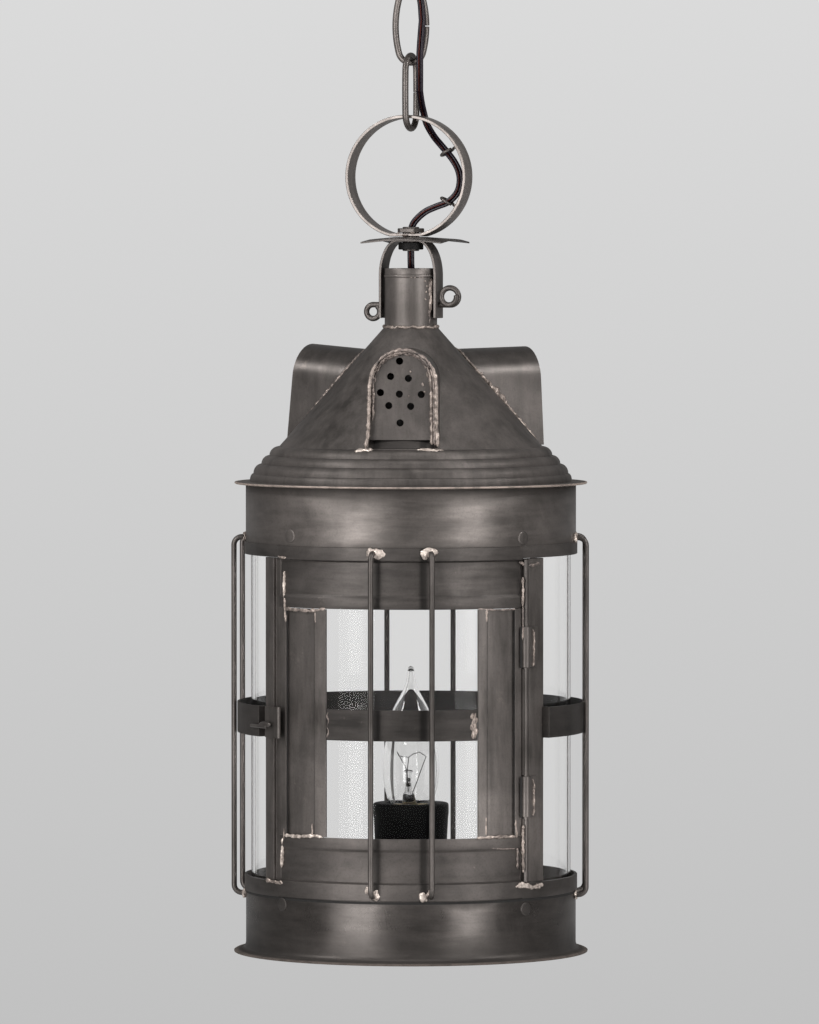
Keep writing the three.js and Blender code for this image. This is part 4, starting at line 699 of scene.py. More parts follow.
PIN_Z, PIN_R = -235.2, 1.6
LEFT_EYE_R, RIGHT_EYE_R = 4.0, 4.9
RIGHT_CURL, CURL_STEPS = 460, 84
left_curl = arc(hang(-23.1, 0, PIN_Z - LEFT_EYE_R), LEFT_EYE_R, 90 + 325, 90, 60, HANG_X)
right_curl = arc(hang(24.5, 0, PIN_Z + RIGHT_EYE_R), RIGHT_EYE_R, -90, RIGHT_CURL - 90, CURL_STEPS, HANG_X)
aside_per_step = (2 * PIN_R + SEAT) * MM / 360 * RIGHT_CURL / CURL_STEPS
for i, point in enumerate(right_curl):
    right_curl[i] = point - HANG_Y * (aside_per_step * i)
pin = make("pivot_pin_wire", *tube(left_curl + right_curl, PIN_R * MM, 16, 0.15), WIRE_METAL, 60.0)
settle(pin, "pivot_pin", "bail")


def nut(name, sides, radius, bore, low, high, material, node, steps=72):
    """A nut with rounded-over corners: its flats are true and its bore is round."""
    verts = []
    for i in range(steps):
        a = 2 * math.pi * i / steps
        reach = radius
        if sides:
            wedge = math.pi / sides
            reach = min(radius * math.cos(wedge) / math.cos(a % (2 * wedge) - wedge), radius * 0.985)
        section = [(reach - 0.45, low), (reach, low + 0.35), (reach, high - 0.35), (reach - 0.45, high),
                   (bore + 0.25, high), (bore, high - 0.25), (bore, low + 0.25), (bore + 0.25, low)]
        verts += [hang(r * math.cos(a), r * math.sin(a), z) for r, z in section]
    settle(make(name, verts, skin(steps, 8, True), material, 24.0), node, "bail")


CAP_Z, STRAP_SHEET = -197.4, 1.6
RING_NUT_LOW = RING_FOOT + RING_SHEET + SEAT
LOCK_NUT_HIGH = CAP_Z - STRAP_SHEET - SEAT
nut("ring_nut_hex", 6, 8.256, PIPE_R, RING_NUT_LOW, RING_NUT_LOW + 2.6, HARDWARE, "ring_nut")
nut("lock_nut_round", 0, 7.2, PIPE_R, LOCK_NUT_HIGH - 4.2, LOCK_NUT_HIGH, DARK_SHADE_METAL, "lock_nut")
nut("bail_tube", 0, PIPE_R - SEAT, 3.3, LOCK_NUT_HIGH - 5.0, RING_NUT_LOW + 3.4, HARDWARE,
    "bail_nipple")
copy_of("cap_plate", CAP_METAL, 0.2, body="bail")

STRAP_FLAT, STRAP_DROP, STRAP_LOW = 6.0, 21.0, -242.8


def strap_line(inset, steps=30):
    """The bail strap's outline, inset by some mm: two legs with shoulders that run to a flat top."""
    half, top = COLLAR_R + 0.45 + SEAT + STRAP_SHEET - inset, CAP_Z - inset
    drop = STRAP_DROP - inset
    points = [(half, STRAP_LOW)]
    for i in range(steps + 1):
        a = math.pi / 2 * i / steps
        points.append((STRAP_FLAT + (half - STRAP_FLAT) * math.cos(a), top - drop + drop * math.sin(a)))
    return points + [(-x, z) for x, z in reversed(points)]


strip("bail_strap_bent", strap_line(0.0), strap_line(STRAP_SHEET), False, HARDWARE, "bail_strap", 0.35)

# Ceiling fitting

CANOPY = [(14.5, -24), (35, -20.6), (54.5, -12.5), (61, -6), (63.5, -1.2)]
smooth_line = spline([(r, 0, z) for r, z in CANOPY], 1.5)[0]
outside = [(PIPE_R, -24)] + [(p.x, p.z) for p in smooth_line]
outside += [(63.5, 0), (59.5, 0), (59.5, -1.2), (62.0, -1.2)]
inside = [(p.x - 0.5, p.z + 1.15) for p in reversed(smooth_line[:-2])] + [(PIPE_R, -22.8)]
settle(turned("canopy_spun", outside + inside, SHEET_METAL, turn=HANG_TURN), "canopy", "ceiling")
copy_of("canopy_loop", LINK_METAL, 0.0, 50.0, "ceiling")
copy_of("mounting_strap", HARDWARE, 0.25, body="ceiling")
copy_of("canopy_nipple", HARDWARE, 0.2, body="ceiling")

# Collar and roof

collar_line = [(14.3, -247.6), (COLLAR_R, -247.6), (COLLAR_R, -219.5)]
for i in range(9):
    a = math.pi * i / 8
    collar_line.append((COLLAR_R + 0.5 * math.sin(a), -218.6 - 0.9 * math.cos(a)))
collar_line += [(COLLAR_R, -217.7), (COLLAR_R, -214.6), (14.9, -214.2), (14.4, -214.2), (14.3, -214.5)]
settle(turned("collar_tube", collar_line, HARDWARE, 96), "collar")

CONE_TOP = (15.2, -247.9)
BEADS = [(75.7, -316.5), (81.4, -321.7), (86, -326.6), (90.6, -332.1), (92.6, -335.9)]
roof_out = [(101.0, -337.9), (101.5, -337.4), (101.3, -336.8), (99.5, -336.75), (92.6, -336.6)]
for (out_r, out_z), (in_r, in_z) in zip(BEADS[:0:-1], BEADS[-2::-1]):
    for k in range(8):
        a = math.pi / 2 * k / 8
        roof_out.append((in_r + (out_r - in_r) * math.cos(a), out_z + (in_z - out_z) * math.sin(a)))
roof_out += [BEADS[0], CONE_TOP]
roof_in = [(14.6, -248.5), (75.1, -317.2), (85.4, -327.3), (92.0, -336.6), (92.0, -337.7)]
roof = turned("roof_beaded", roof_out + roof_in, ROOF_METAL, 220)

# Each dormer's azimuth, reach, lean, the place behind its face that it leans about, and its plate's foot
DORMERS = {"front": (0.0, 76.5, 0.0, 0.0, -311.0), "right": (120.0, 74.6, 1.5, 0.0, -309.0),
           "left": (-120.0, 69.6, 4.2, 20.0, -302.5)}
HOOD_R = 19.1
VENT_X, VENT_Y, VENT_Z = (-13, 13), (-66, -38), (-312, -250)


def on_hood(place, x, y, z):
    """A point in metres from a hood's own mm, leaned back and turned as the hood is."""
    az, reach, lean, pivot, foot = DORMERS[place]
    a = -math.radians(lean)
    y, z = y + reach - pivot, z - SPRING
    y, z = y * math.cos(a) - z * math.sin(a), y * math.sin(a) + z * math.cos(a)
    return spun(x, y - reach + pivot, z + SPRING, az + BODY_TURN)


def vent(az):
    """The block that cuts a dormer's opening into the roof."""
    verts = [spun(x, y, z, az + BODY_TURN) for x in VENT_X for y in VENT_Y for z in VENT_Z]
    return verts, [(0, 1, 3, 2), (4, 6, 7, 5), (0, 4, 5, 1), (2, 3, 7, 6), (0, 2, 6, 4), (1, 5, 7, 3)]


vents = make("vent_cutter", *gather([vent(dormer[0]) for dormer in DORMERS.values()]), ROOF_METAL)
cutter = roof.modifiers.new("vents", "BOOLEAN")
cutter.object = vents
cutter.operation = "DIFFERENCE"
cutter.solver = "EXACT"
bpy.context.view_layer.update()
evaluated = roof.evaluated_get(bpy.context.evaluated_depsgraph_get())
cut_mesh = bpy.data.meshes.new_from_object(evaluated)
roof.modifiers.clear()
roof.data = cut_mesh
roof.data.set_sharp_from_angle(angle=math.radians(34))
bpy.data.objects.remove(vents)


def darken_inside(piece, material):
    """Give the faces that look towards the axis another material."""
    piece.data.materials.append(material)
    for face in piece.data.polygons:
        if face.normal.xy.dot(face.center.xy) < -0.2 * face.center.xy.length:
            face.material_index = 1


# painted shade: the roof's inward faces near black
darken_inside(roof, SHADE_METAL)
settle(roof, "roof")

PLATE_HALF, PLATE_EAR, PLATE_SHEET, PLATE_INSET = 17.7, 1.7, 0.8, 4.6
HOLE_R, HOLE_ACROSS, HOLE_UP, TOP_HOLE_Z = 2.05, 11.2, 8.8, -266.2
HOLE_ROWS = [1, 2, 3, 2, 1]
# Each hole strays a little from its place, as punched by hand: across and up
STRAY = [(-2.2, -0.1), (-1.7, 0.0), (-2.8, -1.1), (-1.8, -0.3), (-2.3, -1.2), (-1.1, -1.4), (-2.7, 1.1),
         (-1.5, 0.7), (-1.9, 0.1)]


def arch(foot, steps=40):
    points = [(-PLATE_HALF - PLATE_EAR, foot), (PLATE_HALF + PLATE_EAR, foot)]
    for i in range(steps + 1):
        a = math.pi * i / steps
        points.append((PLATE_HALF * math.cos(a), SPRING + PLATE_HALF * math.sin(a)))
    return points


def holes(sides=24):
    places = [(i - (count - 1) / 2, row) for row, count in enumerate(HOLE_ROWS) for i in range(count)]
    for (column, row), (aside, up) in zip(places, STRAY):
        x, z = column * HOLE_ACROSS + aside, TOP_HOLE_Z - row * HOLE_UP + up
        turns = [-2 * math.pi * k / sides for k in range(sides)]
        yield [(x + HOLE_R * math.cos(a), z + HOLE_R * math.sin(a)) for a in turns]


def grille(place):
    """A pierced plate in a dormer's face."""
    az, reach, lean, pivot, foot = DORMERS[place]
    data = bpy.data.curves.new("grille_" + place, "CURVE")
    data.dimensions = "2D"
    data.fill_mode = "BOTH"
    data.extrude = PLATE_SHEET / 2
    for points in [arch(foot), *holes()]:
        poly = data.splines.new("POLY")
        poly.points.add(len(points) - 1)
        for point, (x, y) in zip(poly.points, points):
            point.co = (x, y, 0.0, 1.0)
        poly.use_cyclic_u = True
    holder = bpy.data.objects.new("grille_curve", data)
    bpy.context.scene.collection.objects.link(holder)
    mesh = bpy.data.meshes.new_from_object(holder.evaluated_get(bpy.context.evaluated_depsgraph_get()))
    bpy.data.objects.remove(holder)
    middle = PLATE_INSET + PLATE_SHEET / 2 - reach
    flat_verts, faces = form_of(mesh)
    verts = [on_hood(place, v.x, middle - v.z, v.y) for v in flat_verts]
    settle(make("grille_pierced_" + place, verts, faces, ROOF_METAL), "dormer_grille_" + place)


for place in DORMERS:
    copy_of("dormer_hood_" + place, HOOD_METAL, 0.3, 24.0)
bpy.context.view_layer.update()
for place in DORMERS:
    grille(place)
recess = [(71.2, -311.2), (75.3, -315.8), (75.4, -315.7), (71.3, -311.1)]
settle(turned("recess_shade", recess, BAND_METAL, 12, -13.3, 13.3))

# Drums: the rim bands run round the back from post to post

RIM_IN, RIM_OUT = DRUM_R - 0.05, DRUM_R + 0.8
RIM_FROM, RIM_TO = 44.75, 360 - 48.45
RIM_TOP, RIM_BOTTOM = -371.0, -571.4
FLARE = [(101.8, -607.2), (101.9, -606.6), (101.2, -606.2), (98.6, -605.8), (97.0, -605.2), (95.7, -604.0),
         (95.1, -602.4), (DRUM_R, -601.0)]
FLARE_BACK = [(DRUM_IN, -601.4), (94.6, -603.2), (95.6, -605.0), (97.0, -606.2), (99.0, -607.0)]


def drum(node, outline, metal, low, high, foot, band_metal):
    """A drum and its rim band, whose outer corners are rounded, the lower one over foot mm."""
    band = [(RIM_IN, low), (RIM_OUT - 0.2, low), (RIM_OUT, low + foot), (RIM_OUT, high - 0.3),
            (RIM_OUT - 0.2, high), (RIM_IN, high)]
    settle(turned(node + "_rolled", outline, metal, 200), node)
    settle(turned(node + "_rolled_band", band, band_metal, 150, RIM_FROM, RIM_TO))


drum("top_drum", [(DRUM_IN, TOP_DRUM_LOW), (DRUM_R, TOP_DRUM_LOW), (DRUM_R, -370.9), (DRUM_R, -338.4),
                  (94.8, -338.1), (94.4, -338.1), (DRUM_IN, -338.4)],
     LIT_DRUM_METAL, TOP_DRUM_LOW, RIM_TOP, 0.2, RAIL_METAL)
drum("bottom_drum", FLARE + [(DRUM_R, BOTTOM_DRUM_HIGH), (DRUM_IN, BOTTOM_DRUM_HIGH)] + FLARE_BACK,
     SHADED_LOW_DRUM_METAL, RIM_BOTTOM, BOTTOM_DRUM_HIGH, 0.3, SHADED_LOW_METAL)
settle(turned("band_shadow", box(RIM_IN, 95.1, RIM_BOTTOM - 0.1, -572.9), SHADE_METAL, 200))
floor_line = [(PIPE_R, -573.7), (PIPE_R, -574.5), (93.1, -574.5), (93.1, -580.7), (93.9, -580.7),
              (93.9, -574.7), (93.5, -573.9), (92.9, -573.7)]
settle(turned("floor_pan", floor_line, SHEET_METAL, 120), "floor_plate")

# Posts, hoop, straps and latch

for node, material, width, body in (
        ("post_right", POST_METAL, 0.3, "lantern"), ("post_left", POST_METAL, 0.3, "lantern"),
        ("door_stile_right", DOOR_METAL, 0.25, "door"), ("door_stile_left", DOOR_METAL, 0.25, "door"),
        ("hinge_strap_upper", DOOR_METAL, 0.2, "lantern"), ("hinge_strap_lower", DOOR_METAL, 0.2, "lantern"),
        ("latch_clip", DOOR_METAL, 0.2, "lantern")):
    copy_of(node, material, width, 24.0, body)
copy_of("hinge_rod", WIRE_METAL, 0.3, 24.0, "door")
copy_of("latch_pin", WIRE_METAL, 0.2, 50.0, "latch")

FACE_R = 95.3
FOLD_PROUD, CREASE_PROUD, CREASE_HALF = 0.44, 0.14, 0.17
# The stiles' folded borders run between these azimuths, with a thin strip of painted shade in the crease
# beside each (px across, material)
FOLDS = [(-48.2, az_at(287, FACE_R)), (az_at(316, FACE_R), -26.95), (26.95, az_at(487.5, FACE_R)),
         (az_at(516, FACE_R), 44.4)]
CREASE_SHADES = [(288, SHADE_METAL), (315.3, SHADED_LOW_METAL), (488.4, SHADED_LOW_METAL), (515.3, SHADE_METAL)]
for index, (start, end) in enumerate(FOLDS):
    section = box(DRUM_R, DRUM_R + FOLD_PROUD, STILE_LOW, STILE_HIGH)
    fold = turned("stile_fold_" + str(index), section, DOOR_METAL, 8, start, end)
    soften(fold, 0.2)
    settle(fold, None, "door")
for index, (px, material) in enumerate(CREASE_SHADES):
    az = az_at(px, 95.2)
    section = box(DRUM_R, DRUM_R + CREASE_PROUD, STILE_LOW, STILE_HIGH)
    name = "stile_crease_shade_" + str(index)
    settle(turned(name, section, material, 2, az - CREASE_HALF, az + CREASE_HALF), None, "door")

GUARD_R, GUARD_WIRE_R, GUARD_BEND = 101.8, 1.55, 4.6
HOOP_OUT, HOOP_SHEET = GUARD_R - GUARD_WIRE_R - SEAT, 1.0
hoop = turned("hoop_strip", box(HOOP_OUT - HOOP_SHEET, HOOP_OUT, BAND_LOW, BAND_HIGH), BAND_METAL, 150,
              55.2, 303.2)
# painted shade: the hoop's inner faces near black
darken_inside(hoop, DARK_SHADE_METAL)
soften(hoop, 0.3)
settle(hoop, "hoop")
for index, az in enumerate((55.2, 302.6)):
    section = box(FACE_R, HOOP_OUT - 0.8, BAND_LOW, BAND_HIGH)
    settle(turned("hoop_lip_" + str(index), section, BAND_METAL, 2, az, az + 0.6))

SLOT_HALF = 11.6
settle(turned("catch_slot_shade", box(95.2, 95.35, BAND_LOW, BAND_HIGH), SHADE_METAL, 4,
              az_at(260.5, FACE_R), az_at(266.5, FACE_R)))
# painted shade: dark strips in the slots beside the hinge straps
for index, z in enumerate(STRAP_HEIGHTS):
    section = box(96.4, 96.62, z - SLOT_HALF, z + SLOT_HALF)
    shade = turned("strap_slot_shade_" + str(index), section, SHADE_METAL, 2, az_at(521.2, 96.6), az_at(523.2, 96.6))
    settle(shade, None, "door")

# Door

CHANNEL = 95.1
LAP_R = 96.1
DOOR_FROM, DOOR_TO = -48.3, 44.6


def rail(name, drum_edge, opening, up, tall, node, metal):
    """A folded rail: it laps the drum's band, steps in below it and ends in the pane's channel.

    It goes from the drum's edge to the opening, with up as 1 at the top and -1 at the bottom."""
    lap = drum_edge + up * (tall - SEAT)
    step = drum_edge - up * SEAT
    crease = opening + up * 7.0
    face = [(LAP_R - 0.2, lap), (LAP_R, lap - up * 0.2), (LAP_R, step - up * 0.1),
            (LAP_R - 0.1, step - up * 0.4), (94.4, step - up * 1.0), (93.8, step - up * 1.5),
            (93.8, crease + up * 1.0), (93.95, crease + up * 0.5), (94.9, crease - up * 0.5),
            (CHANNEL, crease - up * 1.0), (CHANNEL, opening + up * 0.2), (94.95, opening)]
    back = [(94.4, opening), (94.3, opening + up * 0.2), (94.3, crease - up * 1.1), (93.0, crease + up * 0.1),
            (93.0, step - up * 1.0), (FACE_R, step), (FACE_R, lap)]
    settle(turned(name, face + back, metal, 90, DOOR_FROM, DOOR_TO, angle=40.0), node, "door")


rail("rail_top_folded", TOP_DRUM_LOW, -406.2, 1, 7.0, "door_rail_top", RAIL_METAL)
rail("rail_bottom_folded", BOTTOM_DRUM_HIGH, -535.9, -1, 8.9, "door_rail_bottom", SHADED_LOW_METAL)
BAND_END = 26.9 - math.degrees(SEAT / CHANNEL)
mid_band = turned("mid_band_strip", box(94.3, CHANNEL, BAND_LOW, BAND_HIGH), BAND_METAL, 60,
                  -BAND_END, BAND_END)
soften(mid_band, 0.25)
settle(mid_band, "door_mid_band", "door")


def pane(name, section, steps, start, end, node, body):
    piece = turned(name, section, GLASS, steps, start, end)
    piece.visible_shadow = False
    soften(piece, 0.3)
    settle(piece, node, body)


pane("door_pane", box(92.2, 94.0, -537.9, -404.2), 90, -28.9, 28.9, "door_glass", "door")
pane("body_pane", box(90, 92, -573.4, -372), 200, 47.4, 308.9, "body_glass", "lantern")

# Guard wires: each pair's azimuth and the half angle between its wires

PAIRS = {"front": (0.3, 9.8), "right": (93.4, 8.8), "back": (180.3, 11.1), "left": (-94.9, 8.3)}
guard_ends = []
for place, (az, half) in PAIRS.items():
    on_door = place == "front"
    seat = (LAP_R if on_door else DRUM_R) + SEAT
    low, high = (-568.4, -374.5) if on_door else (RIM_BOTTOM - 2.4, -368.6)
    for side, key in ((-1, "a"), (1, "b")):
        out = outward(az + side * half)
        bend = out * (GUARD_R - GUARD_BEND) * MM
        points = [(out * seat + Z * high) * MM]
        points += arc(bend + Z * (high - GUARD_BEND) * MM, GUARD_BEND, 90, 0, 12, out)
        points += arc(bend + Z * (low + GUARD_BEND) * MM, GUARD_BEND, 0, -90, 12, out)
        points += [(out * seat + Z * low) * MM]
        # the back pair take the shaded copy of the wire metal: painted shade
        metal = SHADED_BACK_WIRE if place == "back" else WIRE_METAL
        name = place + "_" + key
        piece = make("guard_" + name, *tube(points, GUARD_WIRE_R * MM, 16, 0.1), metal, 60.0)
        settle(piece, "guard_wire_" + name, "door" if on_door else "lantern")
        if not on_door:
            guard_ends += [(points[0], out), (points[-1], out)]

# Lamp

holder_line = [(0, -589.4), (4.8, -589.4), (4.8, -573.4), (18.2, -573.4), (18.5, -573.1), (18.5, -569.4),
               (18.9, -568.9), (19.5, -568.4), (21.5, -530.0), (21.8, -527.9), (21.8, -523.2), (21.4, -522.3),
               (20.8, -521.9), (14.9, -521.9), (14.1, -522.5), (13.9, -523.2), (13.9, -551.9), (0, -551.9)]
settle(turned("holder_moulded", holder_line, HOLDER, 96), "socket")

BULB_FOOT, BULB_TALL, BULB_WALL = -523.5, 80.5, 0.55
BULB = [(12.1, 0, -6), (12.1, 0, 0), (13.7, 0, 5), (15.7, 0, 13), (16.3, 0, 21), (15.7, 0, 30), (13.8, 0, 41),
        (12.8, 0, 48), (10.8, 0, 54.5), (7.6, 0, 60.9), (4.6, 0, 66.4), (2.6, 0, 72.4), (2.0, 0, 77),
        (1.5, 0, 79.6), (0.0, 0, BULB_TALL)]
bulb_line = spline(BULB, 1.3)[0]
outside = [(p.x, BULB_FOOT + p.z) for p in bulb_line[:-1]] + [(0, BULB_FOOT + BULB_TALL)]
inside = [(12.1 - BULB_WALL, BULB_FOOT - 6)]
inside += [(p.x - BULB_WALL, BULB_FOOT + p.z - 0.25) for p in bulb_line[1:-3]] + [(0, BULB_FOOT + 77.0)]
bulb = turned("bulb_envelope", outside + inside[::-1], BULB_GLASS, 72)
bulb.visible_shadow = False
settle(bulb, "bulb_glass", "bulb")
copy_of("bulb_base", BRASS, 0.25, 50.0, "bulb")

STEM = [(0, -529.5), (6, -529.5), (5.0, -524.5), (3.9, -520.5), (3.4, -517.6), (2.1, -515.0), (1.7, -510),
        (1.7, -506), (1.9, -504.6), (2.4, -504.0), (2.4, -503.3), (1.6, -502.9), (0, -502.9)]
STEM_LOW, STEM_HIGH = STEM[0][1], STEM[-1][1]
STEM_ASIDE = -1.4
stem = turned("bulb_stem", STEM, STEM_GLASS, 40)
stem.visible_shadow = False
for vertex in stem.data.vertices:
    rise = (vertex.co.z / MM - STEM_LOW) / (STEM_HIGH - STEM_LOW)
    vertex.co += on_body(STEM_ASIDE * min(1.0, rise * 2.0), 0, 0)
settle(stem, "bulb_filament", "bulb")

LEFT_HOOK, RIGHT_HOOK, MIDDLE_HOOK = (-8.0, 0, -492.6), (8.8, 0, -495.2), (-1.3, 1.0, -495.8)
# The wires that hold the filament: their radii and places
WIRES = [
    (0.24, [(-1.5, 0, -516), (-1.9, 0, -507), (-2.6, 0, -502.6), (-5.2, 0, -497.6), LEFT_HOOK]),
    (0.24, [(0.6, 0.4, -517), (2.6, 0.3, -512), (6.0, 0.1, -502.6), RIGHT_HOOK]),
    (0.26, [(-2.0, 0.2, -511), (-2.0, 0.6, -503), MIDDLE_HOOK]),
    (0.30, [(-3.9, -0.4, -503.6), (-1.4, -0.5, -503.4), (1.0, -0.4, -503.7)]),
]
wires = [tube(spline([on_body(*p) for p in places], 0.8 * MM)[0], r * MM, 8, 0.0) for r, places in WIRES]
for low, high, r in ((-512.6, -510.4, 1.15), (-509.8, -507.6, 1.05)):
    wires.append(tube([on_body(STEM_ASIDE, 0, low), on_body(STEM_ASIDE - 0.1, 0, high)], r * MM, 12, 0.2))
for k, z in enumerate((-521.4, -519.6, -517.8)):
    loop_r = 3.7 - 0.45 * k
    loop = []
    for a in [math.radians(i * 12) for i in range(31)]:
        loop.append(on_body(STEM_ASIDE * 0.8 + loop_r * math.cos(a), loop_r * math.sin(a),
                            z + 0.7 * math.sin(a + k * 2.0)))
    wires.append(tube(loop, 0.2 * MM, 6, 0.0))

COIL_STEP, COIL_R, COIL_TURN = 0.22, 0.22, 1.25
COIL = (LEFT_HOOK, (-6.9, 0.3, -495.1), MIDDLE_HOOK, (1.4, 0.7, -493.8), (5.0, 0.4, -492.8), RIGHT_HOOK)
coil = []
for start, end in zip(map(Vector, COIL), map(Vector, COIL[1:])):
    count = round((end - start).length / COIL_STEP)
    coil += [on_body(*start.lerp(end, k / count)) for k in range(count)]
for i, point in enumerate(coil):
    a = i * COIL_TURN
    coil[i] = point + Vector((0, math.cos(a), math.sin(a))) * (COIL_R * MM)
wires.append(tube(coil, 0.2 * MM, 5, 0.0))
settle(make("filament_wires", *gather(wires), TUNGSTEN, 60.0), None, "bulb")


# Solder, rivets and seams: laid in three looks and gathered by body

laid = {kind: {"lantern": [], "door": [], "bail": []} for kind in SOLDERS}


def bead(kind, points, radius, seed, ragged, body="lantern", step=0.7, flat=1.0):
    """Lay an uneven bead of solder through points in metres; radius and step in mm."""
    line = spline(points, step * MM)[0]
    radii = []
    for i, point in enumerate(line):
        t = i * step
        swell = noise.noise(Vector((t * 0.32, seed * 7.3, 0.0)))
        swell += 0.5 * noise.noise(Vector((t * 0.9, seed * 3.1, 4.0)))
        end = min(1.0, (i + 0.6) / 3.0, (len(line) - i - 0.4) / 3.0)
        radii.append(radius * MM * max(0.25, 1.0 + ragged * 1.6 * swell) * (0.35 + 0.65 * end))
        shake = Vector([noise.noise(Vector((t * 0.5, seed, k))) for k in (1.0, 2.0, 3.0)])
        line[i] = point + shake * (radius * MM * ragged)
    laid[kind][body].append(tube(line, radii, 9, flat=flat))


def lump_form(centre, out, size, seed, ragged):
    """A pressed-on blob: centre in metres, facing out; size (across, up, proud) in mm."""
    work = bmesh.new()
    bmesh.ops.create_icosphere(work, subdivisions=3, radius=1.0)
    across = Z.cross(out).normalized()
    up = out.cross(across).normalized()
    verts = []
    for v in work.verts:
        p = v.co * (1.0 + 1.6 * ragged * noise.noise(v.co * 1.6 + Vector((seed * 5.1, seed * 2.3, 0.0))))
        verts.append(centre + (across * p.x * size[0] + up * p.y * size[1] + out * p.z * size[2]) * MM)
    faces = [tuple(v.index for v in f.verts) for f in work.faces]
    work.free()
    return verts, faces


def lump(kind, centre, out, size, seed, ragged=0.3, body="lantern"):
    laid[kind][body].append(lump_form(centre, out, size, seed, ragged))


# collar's foot, all round
collar_foot = [around(15.5, az, -247.9 + 0.35 * math.sin(az * 0.21)) for az in range(-176, 180, 8)]
bead("bright", collar_foot, 0.72, 1, 0.6)
# rough seam at the collar's right front, and specks along its rolled edge
for az, size, seed in ((50.0, 0.8, 2), (54.0, 0.65, 3)):
    seam = [around(15.25, az + 1.6 * math.sin(z * 0.6 + seed), z) for z in range(-238, -219, 2)]
    bead("bright", seam, size, seed, 0.7)
bead("dull", [around(15.2, 48 + math.sin(z), z) for z in range(-246, -236, 3)], 0.6, 4, 0.5)
COLLAR_SPECKS = ((36, -221.5), (38, -227.8), (37, -231.9), (41, -224.4), (30, -219.3), (22, -219.1),
                 (12, -219.4), (4, -219.2), (-8, -219.3))
for i, (az, z) in enumerate(COLLAR_SPECKS):
    lump("bright", around(15.25, az, z), outward(az), (0.6, 0.45, 0.25), 20 + i)

# front dormer: a thin line down its left side, a thick filled strip down its right side, a crown, specks on
# its plate and feet on the roof's beads
HOOD_FRONT = 76.3
# Each side's look, reach, radius and seed, then (across, height) places
HOOD_SIDES = [
    ("bright", HOOD_FRONT, 1.15, 3, ((-15.4, -268.3), (-17.5, -272.6), (-18.8, -279), (-19.2, -290),
                                     (-19.5, -300), (-20.1, -309), (-21.2, -315.4))),
    ("bright", HOOD_FRONT, 1.1, 4, ((15.8, -268.3), (17.6, -272.4), (18.8, -279), (18.9, -290), (19.1, -302),
                                    (19.7, -314.5))),
    ("dull", 75.2, 1.2, 34, ((15.8, -270.5), (17.3, -276), (17.8, -284), (17.9, -295), (18.1, -314))),
    ("bright", 73.9, 1.2, 64, ((13.9, -269.4), (15.5, -275), (16.1, -283), (16.2, -295), (16.4, -313.6))),
]
for kind, reach, size, seed, places in HOOD_SIDES:
    bead(kind, [on_body(x, -reach, z) for x, z in places], size, seed, 0.3)
bead("dull", [on_body(-17.3, -73.6, z) for z in range(-300, -268, 3)], 0.8, 33, 0.6)
for i, (radius, reach, size, ragged) in enumerate((
        (18.5, 75.9, 0.85, 0.45), (17.3, 73.0, 1.2, 0.7), (16.2, 72.4, 0.7, 0.8))):
    crown = []
    for k in range(25):
        a = math.pi * k / 24
        crown.append(on_body(radius * math.cos(a), -reach, SPRING + radius * math.sin(a)))
    bead("dull", crown, size, 5 + 20 * i, ragged)
# Specks on the front plate: across, height, half width and half height
PLATE_SPECKS = (
    (-17.0, -296, 0.9, 1.4), (-17.2, -286, 0.8, 1.8), (-16.8, -277, 1.0, 1.4), (-15.0, -269.5, 0.9, 1.2),
    (-10.5, -264.4, 1.1, 0.7), (12.9, -268.6, 1.1, 1.6), (14.2, -274, 1.0, 1.6), (9.6, -264.2, 1.2, 0.8),
    (-8.0, -263.6, 0.6, 0.6), (4.0, -272.3, 0.5, 0.6), (11.0, -279.5, 0.6, 1.0), (12.0, -283.7, 0.5, 0.6),
    (3.0, -286.0, 0.4, 0.4))
for i, (x, z, wide, tall) in enumerate(PLATE_SPECKS):
    lump("bright", on_body(x, -72.3, z), outward(0), (wide, tall, 0.4), 200 + i, 0.5)
# The dormer's feet: place, half width and half height
HOOD_FEET = (
    (-22.4, -74.0, -317.2, 5.0, 1.9), (-23.6, -74.4, -318.6, 3.0, 1.3), (-20.0, -74.9, -316.6, 2.4, 1.5),
    (13.2, -75.9, -316.6, 4.4, 1.2), (17.0, -75.4, -316.7, 3.9, 1.4), (20.3, -74.2, -316.9, 2.4, 0.8))
slope = (outward(0) * 0.6 + Z * 0.8).normalized()
for i, (x, y, z, wide, tall) in enumerate(HOOD_FEET):
    lump("clean", on_body(x, y, z), slope, (wide, tall, 0.9), 40 + i, 0.4)

# side dormers: the line where each hood meets the cone
CONE_SLOPE = (BEADS[0][0] - CONE_TOP[0]) / (CONE_TOP[1] - BEADS[0][1])
CROWN_STEPS, SIDE_STEPS, SIDE_STEP, INWARD_STEP = 18, 16, 2.3, 0.25


def cone_joint(place, side, proud=0.3):
    """Points where a leaned side hood's skin meets the cone, from its crown down."""
    points = []
    for k in range(CROWN_STEPS + SIDE_STEPS):
        a = math.pi / 2 * min(k / CROWN_STEPS, 1.0)
        x, z = HOOD_R * math.sin(a), SPRING + HOOD_R * math.cos(a)
        if k > CROWN_STEPS:
            z -= (k - CROWN_STEPS) * SIDE_STEP
            x += PLATE_EAR * (SPRING - z) / 38.0
        for step in range(400):
            at = on_hood(place, side * x, -step * INWARD_STEP, z)
            if at.xy.length >= (CONE_TOP[0] + (CONE_TOP[1] - at.z / MM) * CONE_SLOPE) * MM:
                break
        if -316.0 < at.z / MM < -252.0:
            away = Vector((at.x, at.y, 0)).normalized()
            points.append(at + (away * 0.66 + Z * 0.75) * (proud * MM))
    return points


right_line = cone_joint("right", -1, 0.5)
bead("bright", right_line, 0.85, 14, 0.45)
bead("bright", [p for p in right_line if -294.0 < p.z / MM < -274.0], 1.7, 15, 0.6)
bead("dull", cone_joint("right", 1), 0.8, 16, 0.5)
bead("dull", cone_joint("left", 1), 0.95, 17, 0.45)
bead("dull", cone_joint("left", -1), 0.8, 18, 0.5)

